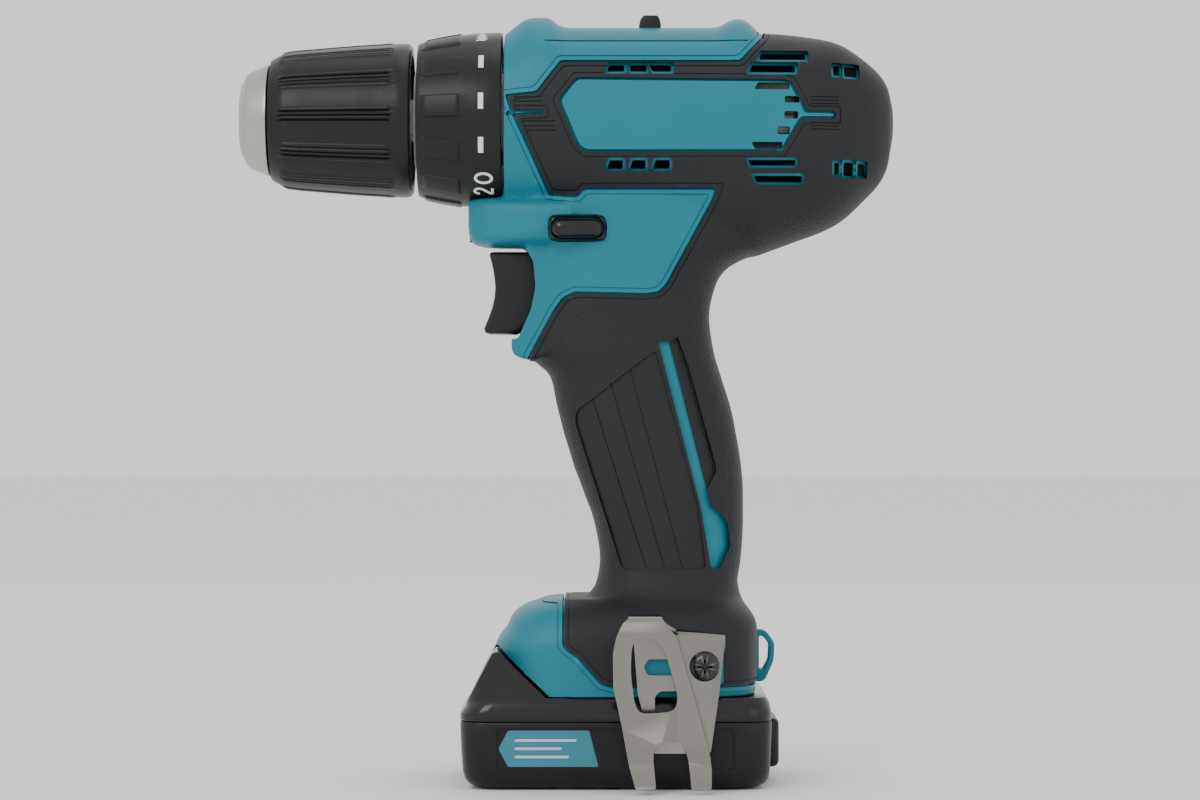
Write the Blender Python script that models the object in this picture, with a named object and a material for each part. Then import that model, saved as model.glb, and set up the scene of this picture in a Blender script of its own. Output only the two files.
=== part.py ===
"""Compact cordless drill driver with its slide-in battery pack.

The tool stands on the battery: +Z is up, the chuck points to -X, the tool's left side faces -Y.
The origin is the middle of the battery's flat base. Sizes below are in millimetres.
"""
import math

import bmesh
import bpy

MM = 0.001
GAP = 0.3

# driving sizes
SPINDLE_Z = 180.8
BARREL_FRONT_X = -30.9
BARREL_HALF_WIDTH = 26.0
GRIP_HALF_WIDTH = 17.8
BATTERY_HALF_WIDTH = 31.5
FOOT_HALF_WIDTH = BATTERY_HALF_WIDTH - 1.0
BATTERY_FRONT_X = -42.2
BATTERY_REAR_X = 41.6
BATTERY_TOP_Z = 24.4
BATTERY_PART_Z = 18.1
WALL = 3.2
SEAT_Y = BATTERY_HALF_WIDTH + 0.7
SEAT_INNER_Y = SEAT_Y - 5.8
COVER = 1.2

# drive train sizes
TORQUE_RING_REAR_X = -31.2
TORQUE_RING_INNER_R = 20.3
CASE_NOSE_R = 13.0
CASE_R = 21.2
GEAR_MODULE = 1.05
SUN_TEETH = 9
PLANET_TEETH = 9
RING_TEETH = SUN_TEETH + 2 * PLANET_TEETH
ORBIT_R = GEAR_MODULE * (SUN_TEETH + PLANET_TEETH) / 2
CARRIER_R = 13.2
PIN_R = 1.8
SHAFT_R = 1.3
MOTOR_R = 18.2
MOTOR_FRONT_X = 3.5
MOTOR_REAR_X = 48.0

# chuck sizes
CHUCK_LIP_X = -103.2
SLEEVE_FRONT_X = -94.9
SLEEVE_REAR_X = -55.9
CHUCK_CORE_R = 11.5
BIT_BORE_R = 5.4
JAW_R = 2.9
JAW_TILT = math.radians(15)
JAW_FRONT_X = -88.0
JAW_FACE_R = 5.0
JAW_LENGTH = 23.0

# trigger, lever and selector
TRIGGER_HALF_WIDTH = 9.0
TRIGGER_TRAVEL = 6.0
TRIGGER_Z = 134.0
LEVER_TRAVEL = 3.0
SELECTOR_TRAVEL = 8.0

SMOOTH_SEGMENTS = 36
MIDDLE_SEGMENTS = 24
FLAT_ANGLE = math.radians(1.5)
HIDDEN_SEGMENTS = 16

# barrel stations: x, top z, bottom z, half width as a share of BARREL_HALF_WIDTH
BARREL = (
    (-30.9, 204.7, 157.0, 0.93), (-24.2, 209.4, 156.0, 0.98), (-18.3, 209.4, 155.0, 1.0),
    (-15.5, 206.4, 154.2, 1.0), (27.0, 206.4, 144.5, 1.0), (31.3, 208.9, 143.3, 1.0),
    (36.0, 208.6, 143.3, 1.0), (39.5, 204.2, 144.3, 1.0), (54.0, 203.2, 149.2, 0.96),
    (64.0, 199.7, 154.9, 0.84), (71.0, 194.6, 162.0, 0.65), (75.4, 187.0, 172.0, 0.32),
)

# neck and grip stations: z, front x, rear x, half width as a share of GRIP_HALF_WIDTH
GRIP = (
    (160.0, -24.0, 46.0, 1.2), (144.7, -24.0, 34.0, 1.09), (138.0, -22.8, 28.8, 1.03),
    (124.0, -23.4, 25.7, 0.98), (115.4, -22.4, 27.2, 0.98), (109.0, -17.8, 29.3, 0.99),
    (91.0, -13.2, 33.6, 1.0), (75.0, -7.6, 34.9, 1.0), (61.0, -4.6, 34.2, 1.01),
    (53.0, -5.9, 33.3, 1.09), (46.0, -12.0, 36.0, 1.45),
)

# foot stations: z, front x, rear x, half width as a share of FOOT_HALF_WIDTH
FOOT = (
    (50.4, -21.0, 33.5, 0.64), (48.3, -25.4, 35.4, 0.81), (43.6, -29.8, 38.0, 0.95),
    (37.5, -33.0, 38.4, 0.985), (24.2, -33.0, 38.2, 1.0),
)

# seen from the side, the region the soft cover wraps
COVER_OUTLINE = (
    (40.3, 215.0), (40.0, 202.3), (33.3, 194.9), (-14.9, 194.9), (-21.4, 186.4), (-29.4, 185.7),
    (-27.5, 180.5), (-18.0, 159.7), (-9.8, 159.4), (-8.9, 161.0), (27.1, 161.0), (25.9, 157.6),
    (13.3, 134.6), (10.0, 132.5), (-11.8, 132.8), (-16.8, 128.1), (-23.0, 117.0), (-24.5, 110.0),
    (-40.0, 108.0), (-40.0, 50.9), (-14.1, 50.6), (-14.1, 38.0), (-10.4, 35.6), (-4.3, 28.2),
    (-1.3, 27.7), (90.0, 27.7), (90.0, 215.0),
)
SIDE_PANEL = (
    (-10.8, 190.4), (45.2, 189.9), (46.6, 189.3), (50.0, 182.5), (50.0, 181.1), (44.2, 170.8),
    (-8.4, 170.8), (-15.5, 184.4),
)
GRIP_STRIPE = (
    (11.8, 119.5), (13.9, 119.5), (25.3, 74.3), (28.8, 71.5), (30.0, 66.0), (27.2, 59.0),
    (25.9, 59.0), (23.2, 74.3),
)

# ventilation slots: front x, rear x, bottom z, top z
VENTS = (
    (38.1, 51.1, 195.4, 197.7), (35.3, 48.1, 191.8, 194.3), (36.9, 44.8, 187.0, 189.0),
    (44.2, 48.2, 179.3, 185.2), (37.0, 43.2, 172.0, 176.0), (35.8, 48.1, 166.7, 168.7),
    (37.4, 50.0, 162.2, 164.6), (58.2, 63.3, 190.9, 193.6), (58.4, 63.2, 164.4, 168.2),
    (-2.9, 5.0, 191.9, 194.2), (6.4, 14.8, 191.9, 194.2), (-2.7, 5.0, 165.9, 168.7),
    (6.4, 14.4, 165.9, 168.7),
)

# housing screws: x, z
SCREWS = ((64.0, 187.5), (62.5, 171.5), (23.5, 147.0), (-31.5, 150.8), (7.5, 101.0), (-18.0, 43.0))
SCREW_HEAD_Y = 12.0
SCREW_HEAD_R = 3.0
SCREW_SHANK_R = 1.5
SCREW_TIP_Y = -7.0
RECESS_HALF_WIDTH = 0.35
RECESS_REACH = 1.7
BOSS_R = 4.2
BOSS_INSET = 2.3


# ------------------------------------------------------------------ helpers
def material(name, colour, roughness, metallic=0.0):
    mat = bpy.data.materials.get(name) or bpy.data.materials.new(name)
    mat.use_nodes = True
    shader = mat.node_tree.nodes["Principled BSDF"]
    shader.inputs["Base Color"].default_value = (*colour, 1.0)
    shader.inputs["Roughness"].default_value = roughness
    shader.inputs["Metallic"].default_value = metallic
    return mat


def teal_plastic():
    return material("teal_plastic", (0.012, 0.27, 0.34), 0.4)


def black_rubber():
    return material("black_rubber", (0.03, 0.033, 0.036), 0.75)


def black_plastic():
    return material("black_plastic", (0.02, 0.021, 0.023), 0.35)


def satin_steel():
    return material("satin_steel", (0.62, 0.61, 0.58), 0.32, 1.0)


def nickel_steel():
    return material("nickel_steel", (0.72, 0.7, 0.66), 0.18, 1.0)


def dark_steel():
    return material("dark_steel", (0.2, 0.2, 0.21), 0.35, 1.0)


def screw_black():
    return material("screw_black", (0.04, 0.04, 0.042), 0.3, 1.0)


def copper_wound():
    return material("copper_wound", (0.55, 0.24, 0.1), 0.4, 1.0)


def lamp_plastic():
    return material("lamp_plastic", (0.9, 0.92, 0.9), 0.12)


def grey_plastic():
    return material("grey_plastic", (0.1, 0.1, 0.11), 0.5)


def cell_wrap():
    return material("cell_wrap", (0.05, 0.3, 0.16), 0.4)


def twisted(face):
    """True for a face with four corners that aren't in one plane."""
    if len(face.verts) != 4:
        return False
    a, b, c, d = (vertex.co for vertex in face.verts)
    normal = (b - a).cross(c - a).normalized()
    return abs(normal.dot(d - a)) > 0.001 * MM


def make(name, points, faces, mat, smooth=True):
    mesh = bpy.data.meshes.new(name)
    mesh.from_pydata([tuple(c * MM for c in p) for p in points], [], faces)
    work = bmesh.new()
    work.from_mesh(mesh)
    bmesh.ops.recalc_face_normals(work, faces=work.faces)
    bmesh.ops.triangulate(work, faces=[face for face in work.faces if twisted(face)])
    for face in work.faces:
        face.smooth = smooth
    work.to_mesh(mesh)
    work.free()
    mesh.materials.append(mat)
    obj = bpy.data.objects.new(name, mesh)
    bpy.context.scene.collection.objects.link(obj)
    return obj


def loft(name, rings, mat):
    """Skin through rings of equally many points, with a flat cap on each end."""
    count = len(rings[0])
    points = [p for ring in rings for p in ring]
    faces = []
    for row in range(len(rings) - 1):
        for i in range(count):
            a = row * count + i
            b = row * count + (i + 1) % count
            faces.append((a, b, b + count, a + count))
    faces.append(tuple(range(count)))
    faces.append(tuple(range(len(points) - count, len(points))))
    return make(name, points, faces, mat)


def turned(name, profile, mat, segments=HIDDEN_SEGMENTS, bored=True):
    """Body of revolution about the spindle line. The profile is (x, radius), closed when bored."""
    rings = []
    for x, radius in profile:
        ring = []
        for i in range(segments):
            angle = 2 * math.pi * i / segments
            ring.append((x, radius * math.sin(angle), SPINDLE_Z + radius * math.cos(angle)))
        rings.append(ring)
    if not bored:
        return loft(name, rings, mat)
    points = [p for ring in rings for p in ring]
    faces = []
    for row in range(len(rings)):
        after = (row + 1) % len(rings)
        for i in range(segments):
            j = (i + 1) % segments
            faces.append((row * segments + i, row * segments + j,
                          after * segments + j, after * segments + i))
    return make(name, points, faces, mat)


def prism(name, outline, y0, y1, mat):
    """Outline seen from the side, (x, z), pushed through from y0 to y1."""
    low = [(x, y0, z) for x, z in outline]
    high = [(x, y1, z) for x, z in outline]
    return loft(name, [low, high], mat)


def box(name, x0, x1, y0, y1, z0, z1, mat):
    return prism(name, ((x0, z0), (x1, z0), (x1, z1), (x0, z1)), y0, y1, mat)


def pin_y(name, x, z, radius, y0, y1, mat, segments=16):
    outline = []
    for i in range(segments):
        angle = 2 * math.pi * (i + 0.5) / segments
        outline.append((x + radius * math.cos(angle), z + radius * math.sin(angle)))
    return prism(name, outline, y0, y1, mat)


def combine(obj, other, operation):
    step = obj.modifiers.new("combine", "BOOLEAN")
    step.operation = operation
    step.solver = "EXACT"
    step.object = other
    other.hide_render = True
    other.display_type = "WIRE"
    depsgraph = bpy.context.evaluated_depsgraph_get()
    mesh = bpy.data.meshes.new_from_object(obj.evaluated_get(depsgraph))
    obj.modifiers.remove(step)
    obj.data = mesh
    return obj


def cut(obj, *cutters):
    for cutter in cutters:
        combine(obj, cutter, "DIFFERENCE")
        bpy.data.objects.remove(cutter)
    return obj


def join(obj, *others):
    for other in others:
        combine(obj, other, "UNION")
        bpy.data.objects.remove(other)
    return obj


def keep(obj, region):
    combine(obj, region, "INTERSECT")
    bpy.data.objects.remove(region)
    return obj


def copy_of(obj, name):
    twin = obj.copy()
    twin.data = obj.data.copy()
    twin.name = name
    bpy.context.scene.collection.objects.link(twin)
    return twin


def soften(obj, width, segments=2):
    """Round the edges of a finished plain piece."""
    step = obj.modifiers.new("soften", "BEVEL")
    step.width = width * MM
    step.segments = segments
    step.limit_method = "ANGLE"
    step.angle_limit = math.radians(40)
    depsgraph = bpy.context.evaluated_depsgraph_get()
    mesh = bpy.data.meshes.new_from_object(obj.evaluated_get(depsgraph))
    obj.modifiers.remove(step)
    obj.data = mesh
    tidy(obj)
    return obj


def tidy(obj):
    work = bmesh.new()
    work.from_mesh(obj.data)
    bmesh.ops.remove_doubles(work, verts=work.verts, dist=0.00002)
    bmesh.ops.dissolve_degenerate(work, edges=work.edges, dist=0.00002)
    work.to_mesh(obj.data)
    work.free()


def grown(outline, amount):
    """Outline with every side moved outward by amount."""
    area = 0.0
    count = len(outline)
    for i in range(count):
        (xa, za), (xb, zb) = outline[i], outline[(i + 1) % count]
        area += xa * zb - xb * za
    side = 1.0 if area > 0 else -1.0
    result = []
    for i in range(count):
        (xa, za), (xb, zb), (xc, zc) = outline[i - 1], outline[i], outline[(i + 1) % count]
        first = math.hypot(xb - xa, zb - za)
        second = math.hypot(xc - xb, zc - zb)
        n1 = ((zb - za) / first * side, -(xb - xa) / first * side)
        n2 = ((zc - zb) / second * side, -(xc - xb) / second * side)
        scale = amount / (1 + n1[0] * n2[0] + n1[1] * n2[1])
        result.append((xb + (n1[0] + n2[0]) * scale, zb + (n1[1] + n2[1]) * scale))
    return result


def oval(count, half_a, half_up, half_down, power):
    """Points round a rounded section, as (a, b) offsets."""
    points = []
    for i in range(count):
        angle = 2 * math.pi * (i + 0.5) / count
        c, s = math.cos(angle), math.sin(angle)
        half_b = half_up if s > 0 else half_down
        points.append((
            half_a * math.copysign(abs(c) ** (2 / power), c),
            half_b * math.copysign(abs(s) ** (2 / power), s),
        ))
    return points


# ------------------------------------------------------------------ housing and covers
def barrel_solid(inset):
    rings = []
    last = len(BARREL) - 1
    for i, (x, top, bottom, share) in enumerate(BARREL):
        if i == 0:
            x += inset * 0.8
        if i == last:
            x -= inset
        half_width = share * BARREL_HALF_WIDTH - inset
        up = max(top - SPINDLE_Z - inset, 1.0)
        down = max(SPINDLE_Z - bottom - inset, 1.0)
        section = oval(20, half_width, up, down, 2.35)
        rings.append([(x, a, SPINDLE_Z + b) for a, b in section])
    return loft("barrel", rings, teal_plastic())


def standing_solid(stations, half_width, inset, trim_ends, power):
    rings = []
    top = stations[0][0]
    height = top - stations[-1][0]
    for z, front, rear, share in stations:
        if trim_ends:
            z = top - inset - (top - z) * (height - 2 * inset) / height
        middle = (front + rear) / 2
        half_length = (rear - front) / 2 - inset
        width = share * half_width - inset
        section = oval(16, half_length, width, width, power)
        rings.append([(middle + a, b, z) for a, b in section])
    return loft("standing", rings, teal_plastic())


def pack_nose_space(margin):
    """The wedge in front of the foot where the battery's raised front stands."""
    outline = (
        (-70.0, 37.6 + margin), (-32.1 + 0.4 * margin, 37.6 + margin),
        (-18.5 + margin, 24.9 + 0.4 * margin), (-18.5 + margin, 10.0), (-70.0, 10.0),
    )
    return prism("pack_space", outline, -50.0, 50.0, teal_plastic())


def body_solid(inset):
    solid = barrel_solid(inset)
    join(solid, standing_solid(GRIP, GRIP_HALF_WIDTH, inset, False, 2.6))
    join(solid, standing_solid(FOOT, FOOT_HALF_WIDTH, inset, True, 4.0))
    return cut(solid, pack_nose_space(inset))


def cover_region(margin):
    region = prism("region", grown(COVER_OUTLINE, margin), -60.0, 60.0, black_rubber())
    for island in (SIDE_PANEL, GRIP_STRIPE):
        cut(region, prism("island", grown(island, -margin), -70.0, 70.0, black_rubber()))
    return region


def vent_cutter():
    points = []
    faces = []
    for x0, x1, z0, z1 in VENTS:
        first = len(points)
        for y in (-60.0, 60.0):
            points += [(x0, y, z0), (x1, y, z0), (x1, y, z1), (x0, y, z1)]
        for face in ((0, 1, 2, 3), (7, 6, 5, 4), (0, 4, 5, 1), (1, 5, 6, 2), (2, 6, 7, 3), (3, 7, 4, 0)):
            faces.append(tuple(first + i for i in face))
    return make("vents", points, faces, black_plastic(), smooth=False)


def nose_solid():
    rings = []
    for x, bottom, half_width in ((-40.8, 149.0, 9.0), (-40.0, 147.2, 10.5), (-36.6, 145.7, 13.0),
                                  (-30.0, 145.4, 16.0), (-14.0, 145.4, 19.0)):
        top = 159.0
        mid = (top + bottom) / 2
        section = oval(16, half_width, (top - bottom) / 2, (top - bottom) / 2, 5.0)
        rings.append([(x, a, mid + b) for a, b in section])
    return loft("nose", rings, teal_plastic())


def trigger_guard():
    outline = (
        (-24.2, 128.5), (-27.4, 121.6), (-28.4, 118.2), (-27.4, 115.8), (-22.8, 114.4), (-14.0, 117.6),
        (-14.0, 128.5),
    )
    return prism("guard", outline, -12.5, 12.5, teal_plastic())


def strap_loop():
    outline = ((34.0, 41.0), (40.8, 41.0), (43.4, 37.6), (43.2, 32.6), (40.6, 26.8), (34.0, 26.8))
    loop = prism("loop", outline, -3.0, 3.0, teal_plastic())
    return cut(loop, box("eye", 38.9, 41.6, -5.0, 5.0, 31.2, 39.0, teal_plastic()))


def clip_seats(margin):
    """Flat pads on both sides of the foot that the belt clip can be screwed to."""
    pads = []
    for y0, y1 in ((-SEAT_Y, -SEAT_INNER_Y), (SEAT_INNER_Y, SEAT_Y)):
        pads.append(box("seat", 6.0 - margin, 30.5 + margin, y0, y1, 28.4 - margin, 40.0 + margin,
                        teal_plastic()))
    return join(*pads)


def openings():
    """Everything that passes through both the housing and its soft cover."""
    cutters = [
        box("trigger_space", -60.0, -11.0, -TRIGGER_HALF_WIDTH - 0.5, TRIGGER_HALF_WIDTH + 0.5,
            121.4, 145.0, teal_plastic()),
        box("lever_space", -18.2, -3.0, -50.0, 50.0, 147.2, 153.6, teal_plastic()),
        box("selector_space", 3.6, 3.6 + 8.8 + SELECTOR_TRAVEL, -6.0, 6.0, 198.0, 220.0, teal_plastic()),
        vent_cutter(),
    ]
    for x, z in SCREWS:
        cutters.append(pin_y("head_space", x, z, SCREW_HEAD_R + 0.4, SCREW_HEAD_Y, 60.0,
                             teal_plastic()))
        cutters.append(pin_y("shank_space", x, z, SCREW_SHANK_R + GAP, SCREW_TIP_Y - 1.0,
                             SCREW_HEAD_Y + 1.0, teal_plastic(), 10))
    return cutters


def housing_and_covers():
    outer = body_solid(0.0)
    soft = copy_of(outer, "soft")
    cut(soft, body_solid(COVER))
    keep(soft, cover_region(0.0))

    shell = outer
    recess = cover_region(GAP)
    cut(recess, body_solid(COVER + GAP))
    cut(shell, recess)
    cut(shell, body_solid(WALL))
    for x, z in SCREWS:
        boss = pin_y("boss", x, z, BOSS_R, -40.0, 40.0, teal_plastic())
        join(shell, keep(boss, body_solid(BOSS_INSET)))
    join(shell, nose_solid(), trigger_guard(), strap_loop(), clip_seats(0.0))
    cut(soft, clip_seats(GAP), box("loop_space", 33.0, 50.0, -3.3, 3.3, 26.0, 41.4, teal_plastic()))
    guard_space = ((-40.0, 129.0), (-40.0, 114.0), (-22.8, 114.0), (-13.5, 117.2), (-13.5, 129.0))
    cut(soft, prism("guard_space", guard_space, -12.8, 12.8, teal_plastic()))

    turned_spaces = (
        turned("ring_space", ((-70.0, 24.7), (BARREL_FRONT_X, 24.7)), teal_plastic(),
               SMOOTH_SEGMENTS, False),
        turned("case_space", ((-45.0, CASE_R + GAP), (MOTOR_FRONT_X, CASE_R + GAP)), teal_plastic(),
               SMOOTH_SEGMENTS, False),
    )
    cut(shell, *turned_spaces)
    cut(shell, *openings())
    cut(soft, *openings())
    cut(
        shell,
        box("lamp_space", -60.0, -35.4, -3.9, 3.9, 147.6, 154.6, teal_plastic()),
        box("rail_neck_space", -60.0, 21.0, -13.0, 13.0, 20.0, 27.0, teal_plastic()),
        box("rail_head_space", -60.0, 21.0, -16.4, 16.4, 26.5, 30.9, teal_plastic()),
        box("latch_space", -30.4, -25.4, -5.6, 5.6, 30.0, 37.6, teal_plastic()),
        pin_y("clip_screw_space", 23.3, 33.2, 2.2, -45.0, -24.0, teal_plastic(), 12),
        pin_y("spare_screw_space", 23.3, 33.2, 2.2, 24.0, 45.0, teal_plastic(), 12),
    )
    for name, source, low, high in (
        ("housing_left", shell, -90.0, -0.15), ("housing_right", shell, 0.15, 90.0),
        ("grip_cover_left", soft, -90.0, -0.15), ("grip_cover_right", soft, 0.15, 90.0),
    ):
        half = copy_of(source, name)
        keep(half, box("half", -120.0, 120.0, low, high, -20.0, 240.0, teal_plastic()))
        finish_shell(half, black_rubber() if source is soft else teal_plastic())
    bpy.data.objects.remove(shell)
    bpy.data.objects.remove(soft)


def finish_shell(obj, mat):
    """One material for the whole piece, whatever its cutters were made of."""
    tidy(obj)
    work = bmesh.new()
    work.from_mesh(obj.data)
    bmesh.ops.dissolve_limit(work, angle_limit=FLAT_ANGLE, verts=work.verts, edges=work.edges)
    bmesh.ops.triangulate(work, faces=work.faces)
    work.to_mesh(obj.data)
    work.free()
    obj.data.materials.clear()
    obj.data.materials.append(mat)
    for face in obj.data.polygons:
        face.material_index = 0


def housing_screws():
    for index, (x, z) in enumerate(SCREWS):
        head = pin_y("housing_screw_%d" % (index + 1), x, z, SCREW_HEAD_R, SCREW_HEAD_Y + GAP,
                     SCREW_HEAD_Y + 2.3, screw_black(), 12)
        shank = pin_y("shank", x, z, SCREW_SHANK_R, SCREW_TIP_Y, SCREW_HEAD_Y + 1.0, screw_black(), 8)
        join(head, shank)
        recesses = []
        for half_x, half_z in ((RECESS_HALF_WIDTH, RECESS_REACH), (RECESS_REACH, RECESS_HALF_WIDTH)):
            recesses.append(box("recess", x - half_x, x + half_x, SCREW_HEAD_Y + 1.3, SCREW_HEAD_Y + 4.0,
                                z - half_z, z + half_z, screw_black()))
        cut(head, join(*recesses))


# ------------------------------------------------------------------ gears
def gear_outline(teeth, inward, phase):
    """Tooth outline as (radius, angle) pairs. A ring gear's teeth point inward."""
    pitch_r = GEAR_MODULE * teeth / 2
    sign = -1.0 if inward else 1.0
    root = pitch_r - sign * 0.75 * GEAR_MODULE
    tip = pitch_r + sign * 0.5 * GEAR_MODULE
    step = 2 * math.pi / teeth
    points = []
    for k in range(teeth):
        for radius, across in ((root, -0.23), (tip, -0.12), (tip, 0.12), (root, 0.23)):
            points.append((radius, phase + (k + across) * step))
    return points


def gear(name, teeth, inward, other_r, x0, x1, centre, phase, mat):
    """Toothed wheel between x0 and x1, with a round wall of radius other_r on its smooth side."""
    outline = gear_outline(teeth, inward, phase)
    cy, cz = centre
    rings = []
    for x, smooth_side in ((x0, False), (x1, False), (x1, True), (x0, True)):
        ring = []
        for radius, angle in outline:
            r = other_r if smooth_side else radius
            ring.append((x, cy + r * math.sin(angle), cz + r * math.cos(angle)))
        rings.append(ring)
    count = len(outline)
    points = [p for ring in rings for p in ring]
    faces = []
    for row in range(4):
        after = (row + 1) % 4
        for i in range(count):
            j = (i + 1) % count
            faces.append((row * count + i, row * count + j, after * count + j, after * count + i))
    return make(name, points, faces, mat, smooth=False)


def orbit_centre(index):
    angle = 2 * math.pi * index / 3
    return angle, (ORBIT_R * math.sin(angle), SPINDLE_Z + ORBIT_R * math.cos(angle))


def planets(prefix, x0, x1):
    for index in range(3):
        angle, centre = orbit_centre(index)
        phase = angle + math.pi + math.pi / PLANET_TEETH
        gear("%s_%d" % (prefix, index + 1), PLANET_TEETH, False, PIN_R + GAP, x0, x1, centre, phase,
             dark_steel())


def ring_gear(name, x0, x1):
    # a planet with an odd tooth count points a tooth outward, so the ring shows it a gap there
    phase = math.pi / RING_TEETH if PLANET_TEETH % 2 else 0.0
    return gear(name, RING_TEETH, True, CASE_R - 2.6, x0, x1, (0.0, SPINDLE_Z), phase, dark_steel())


def carrier_pins(x0, x1):
    pins = []
    for index in range(3):
        _, (cy, cz) = orbit_centre(index)
        rings = []
        for x in (x0, x1):
            ring = []
            for i in range(12):
                angle = 2 * math.pi * (i + 0.37) / 12
                ring.append((x, cy + PIN_R * math.sin(angle), cz + PIN_R * math.cos(angle)))
            rings.append(ring)
        pins.append(loft("pin", rings, dark_steel()))
    return pins


def gear_train():
    turned("gear_case", (
        (-55.2, 8.9), (-55.2, CASE_NOSE_R), (-30.4, CASE_NOSE_R), (-30.4, CASE_R),
        (2.8, CASE_R), (2.8, CASE_R - 2.0),
        (-28.0, CASE_R - 2.0), (-28.0, 8.9),
    ), dark_steel(), MIDDLE_SEGMENTS)
    turned("spindle_bearing", ((-54.6, 6.1), (-54.6, 8.6), (-44.0, 8.6), (-44.0, 6.1)), satin_steel())
    turned("spindle", (
        (-69.7, 2.7), (-69.7, 5.0), (-57.2, 5.0), (-57.2, 5.8), (-28.2, 5.8), (-28.2, 4.0), (-24.1, 4.0),
        (-24.1, 2.7),
    ), satin_steel())
    carrier = turned("carrier_output", ((-27.4, 4.3), (-27.4, CARRIER_R), (-24.6, CARRIER_R), (-24.6, 4.3)),
                     dark_steel())
    join(carrier, *carrier_pins(-25.5, -16.0))
    planets("planet_output", -24.2, -16.6)
    ring_gear("ring_gear_output", -25.2, -15.8)
    sun = gear("carrier_input", SUN_TEETH, False, 1.6, -23.7, -13.4, (0.0, SPINDLE_Z), 0.0, dark_steel())
    disc = turned("disc", ((-14.8, CARRIER_R), (-12.2, CARRIER_R)), dark_steel(), HIDDEN_SEGMENTS, False)
    join(sun, disc, *carrier_pins(-13.0, -3.8))
    planets("planet_input", -11.8, -4.4)
    ring_gear("ring_gear_input", -12.4, -4.0)
    gear("motor_pinion", SUN_TEETH, False, SHAFT_R + GAP, -11.6, -3.6, (0.0, SPINDLE_Z), 0.0, dark_steel())


# ------------------------------------------------------------------ motor
def motor():
    turned("motor_can", (
        (MOTOR_FRONT_X, 4.6), (MOTOR_FRONT_X, MOTOR_R), (MOTOR_REAR_X, MOTOR_R),
        (MOTOR_REAR_X, MOTOR_R - 1.4), (MOTOR_FRONT_X + 1.6, MOTOR_R - 1.4), (MOTOR_FRONT_X + 1.6, 4.6),
    ), dark_steel(), MIDDLE_SEGMENTS)
    turned("motor_end_cap", (
        (MOTOR_REAR_X + GAP, 3.2), (MOTOR_REAR_X + GAP, MOTOR_R - 0.2), (MOTOR_REAR_X + 4.0, MOTOR_R - 0.8),
        (MOTOR_REAR_X + 5.5, 7.0), (MOTOR_REAR_X + 9.0, 7.0), (MOTOR_REAR_X + 9.0, 3.2),
    ), black_plastic())
    turned("armature_shaft", (
        (-11.0, SHAFT_R), (12.0, SHAFT_R), (12.0, 12.6), (38.0, 12.6), (38.0, 5.0), (45.0, 5.0),
        (45.0, SHAFT_R + 1.2), (55.5, SHAFT_R + 1.2),
    ), copper_wound(), HIDDEN_SEGMENTS, False)
    for index, start in enumerate((-60.0, 120.0)):
        rings = []
        for x in (11.0, 39.0):
            arc = [math.radians(start + 120.0 * i / 8) for i in range(9)]
            ring = [(x, 16.4 * math.sin(a), SPINDLE_Z + 16.4 * math.cos(a)) for a in arc]
            ring += [(x, 13.3 * math.sin(a), SPINDLE_Z + 13.3 * math.cos(a)) for a in reversed(arc)]
            rings.append(ring)
        loft("motor_magnet_%d" % (index + 1), rings, dark_steel())
    fan = turned("cooling_fan", ((6.0, SHAFT_R + GAP), (6.0, 15.2), (7.2, 15.2), (7.2, 4.0), (10.8, 4.0),
                                 (10.8, SHAFT_R + GAP)), grey_plastic())
    for index in range(8):
        angle = 2 * math.pi * (index + 0.17) / 8
        blade = []
        for x in (6.8, 10.8):
            ring = []
            for radius, offset in ((5.5, -0.06), (14.8, 0.16), (14.8, 0.22), (5.5, 0.1)):
                a = angle + offset
                ring.append((x, radius * math.sin(a), SPINDLE_Z + radius * math.cos(a)))
            blade.append(ring)
        join(fan, loft("blade", blade, grey_plastic()))


# ------------------------------------------------------------------ clutch
def coil(name, x0, x1, mean_r, wire_r, turns, centre_z, mat, axis="x", centre_x=0.0, steps=10):
    """Open coil spring along X or, for axis z, along Z."""
    rings = []
    total = int(turns * steps)
    for i in range(total + 1):
        along = x0 + wire_r + (x1 - x0 - 2 * wire_r) * i / total
        angle = 2 * math.pi * i / steps
        ring = []
        for k in range(5):
            turn = 2 * math.pi * k / 5
            r = mean_r + wire_r * math.cos(turn)
            a = along + wire_r * math.sin(turn)
            if axis == "x":
                ring.append((a, r * math.sin(angle), centre_z + r * math.cos(angle)))
            else:
                ring.append((centre_x + r * math.cos(angle), r * math.sin(angle), a))
        rings.append(ring)
    return loft(name, rings, mat)


def clutch():
    rear = TORQUE_RING_REAR_X
    ring = turned("torque_ring", (
        (-54.3, 13.6), (-54.3, 20.9), (-51.3, 22.0), (-43.0, 23.4), (-42.0, 23.5), (rear, 24.1),
        (rear, TORQUE_RING_INNER_R), (-52.4, TORQUE_RING_INNER_R), (-52.4, 13.6),
    ), black_plastic(), SMOOTH_SEGMENTS)
    raise_pads(ring, -52.0, -42.5, 0.6)
    turned("clutch_nut", ((-47.0, 13.5), (-47.0, 19.9), (-43.6, 19.9), (-43.6, 13.5)), grey_plastic())
    coil("clutch_spring", -43.2, -33.6, 16.6, 1.0, 3.5, SPINDLE_Z, satin_steel())
    turned("clutch_plate", ((-33.2, 13.4), (-33.2, 19.6), (-31.6, 19.6), (-31.6, 13.4)), dark_steel())


def raise_pads(obj, x0, x1, height):
    """Lift every third edge line of the outer wall into a grip pad."""
    for vertex in obj.data.vertices:
        x, y, z = (c / MM for c in vertex.co)
        z -= SPINDLE_Z
        radius = math.hypot(y, z)
        index = round(math.atan2(y, z) / (2 * math.pi) * SMOOTH_SEGMENTS)
        if radius > 20.5 and x0 < x < x1 and index % 3 == 0:
            factor = (radius + height) / radius
            vertex.co = (x * MM, y * factor * MM, (z * factor + SPINDLE_Z) * MM)


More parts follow.
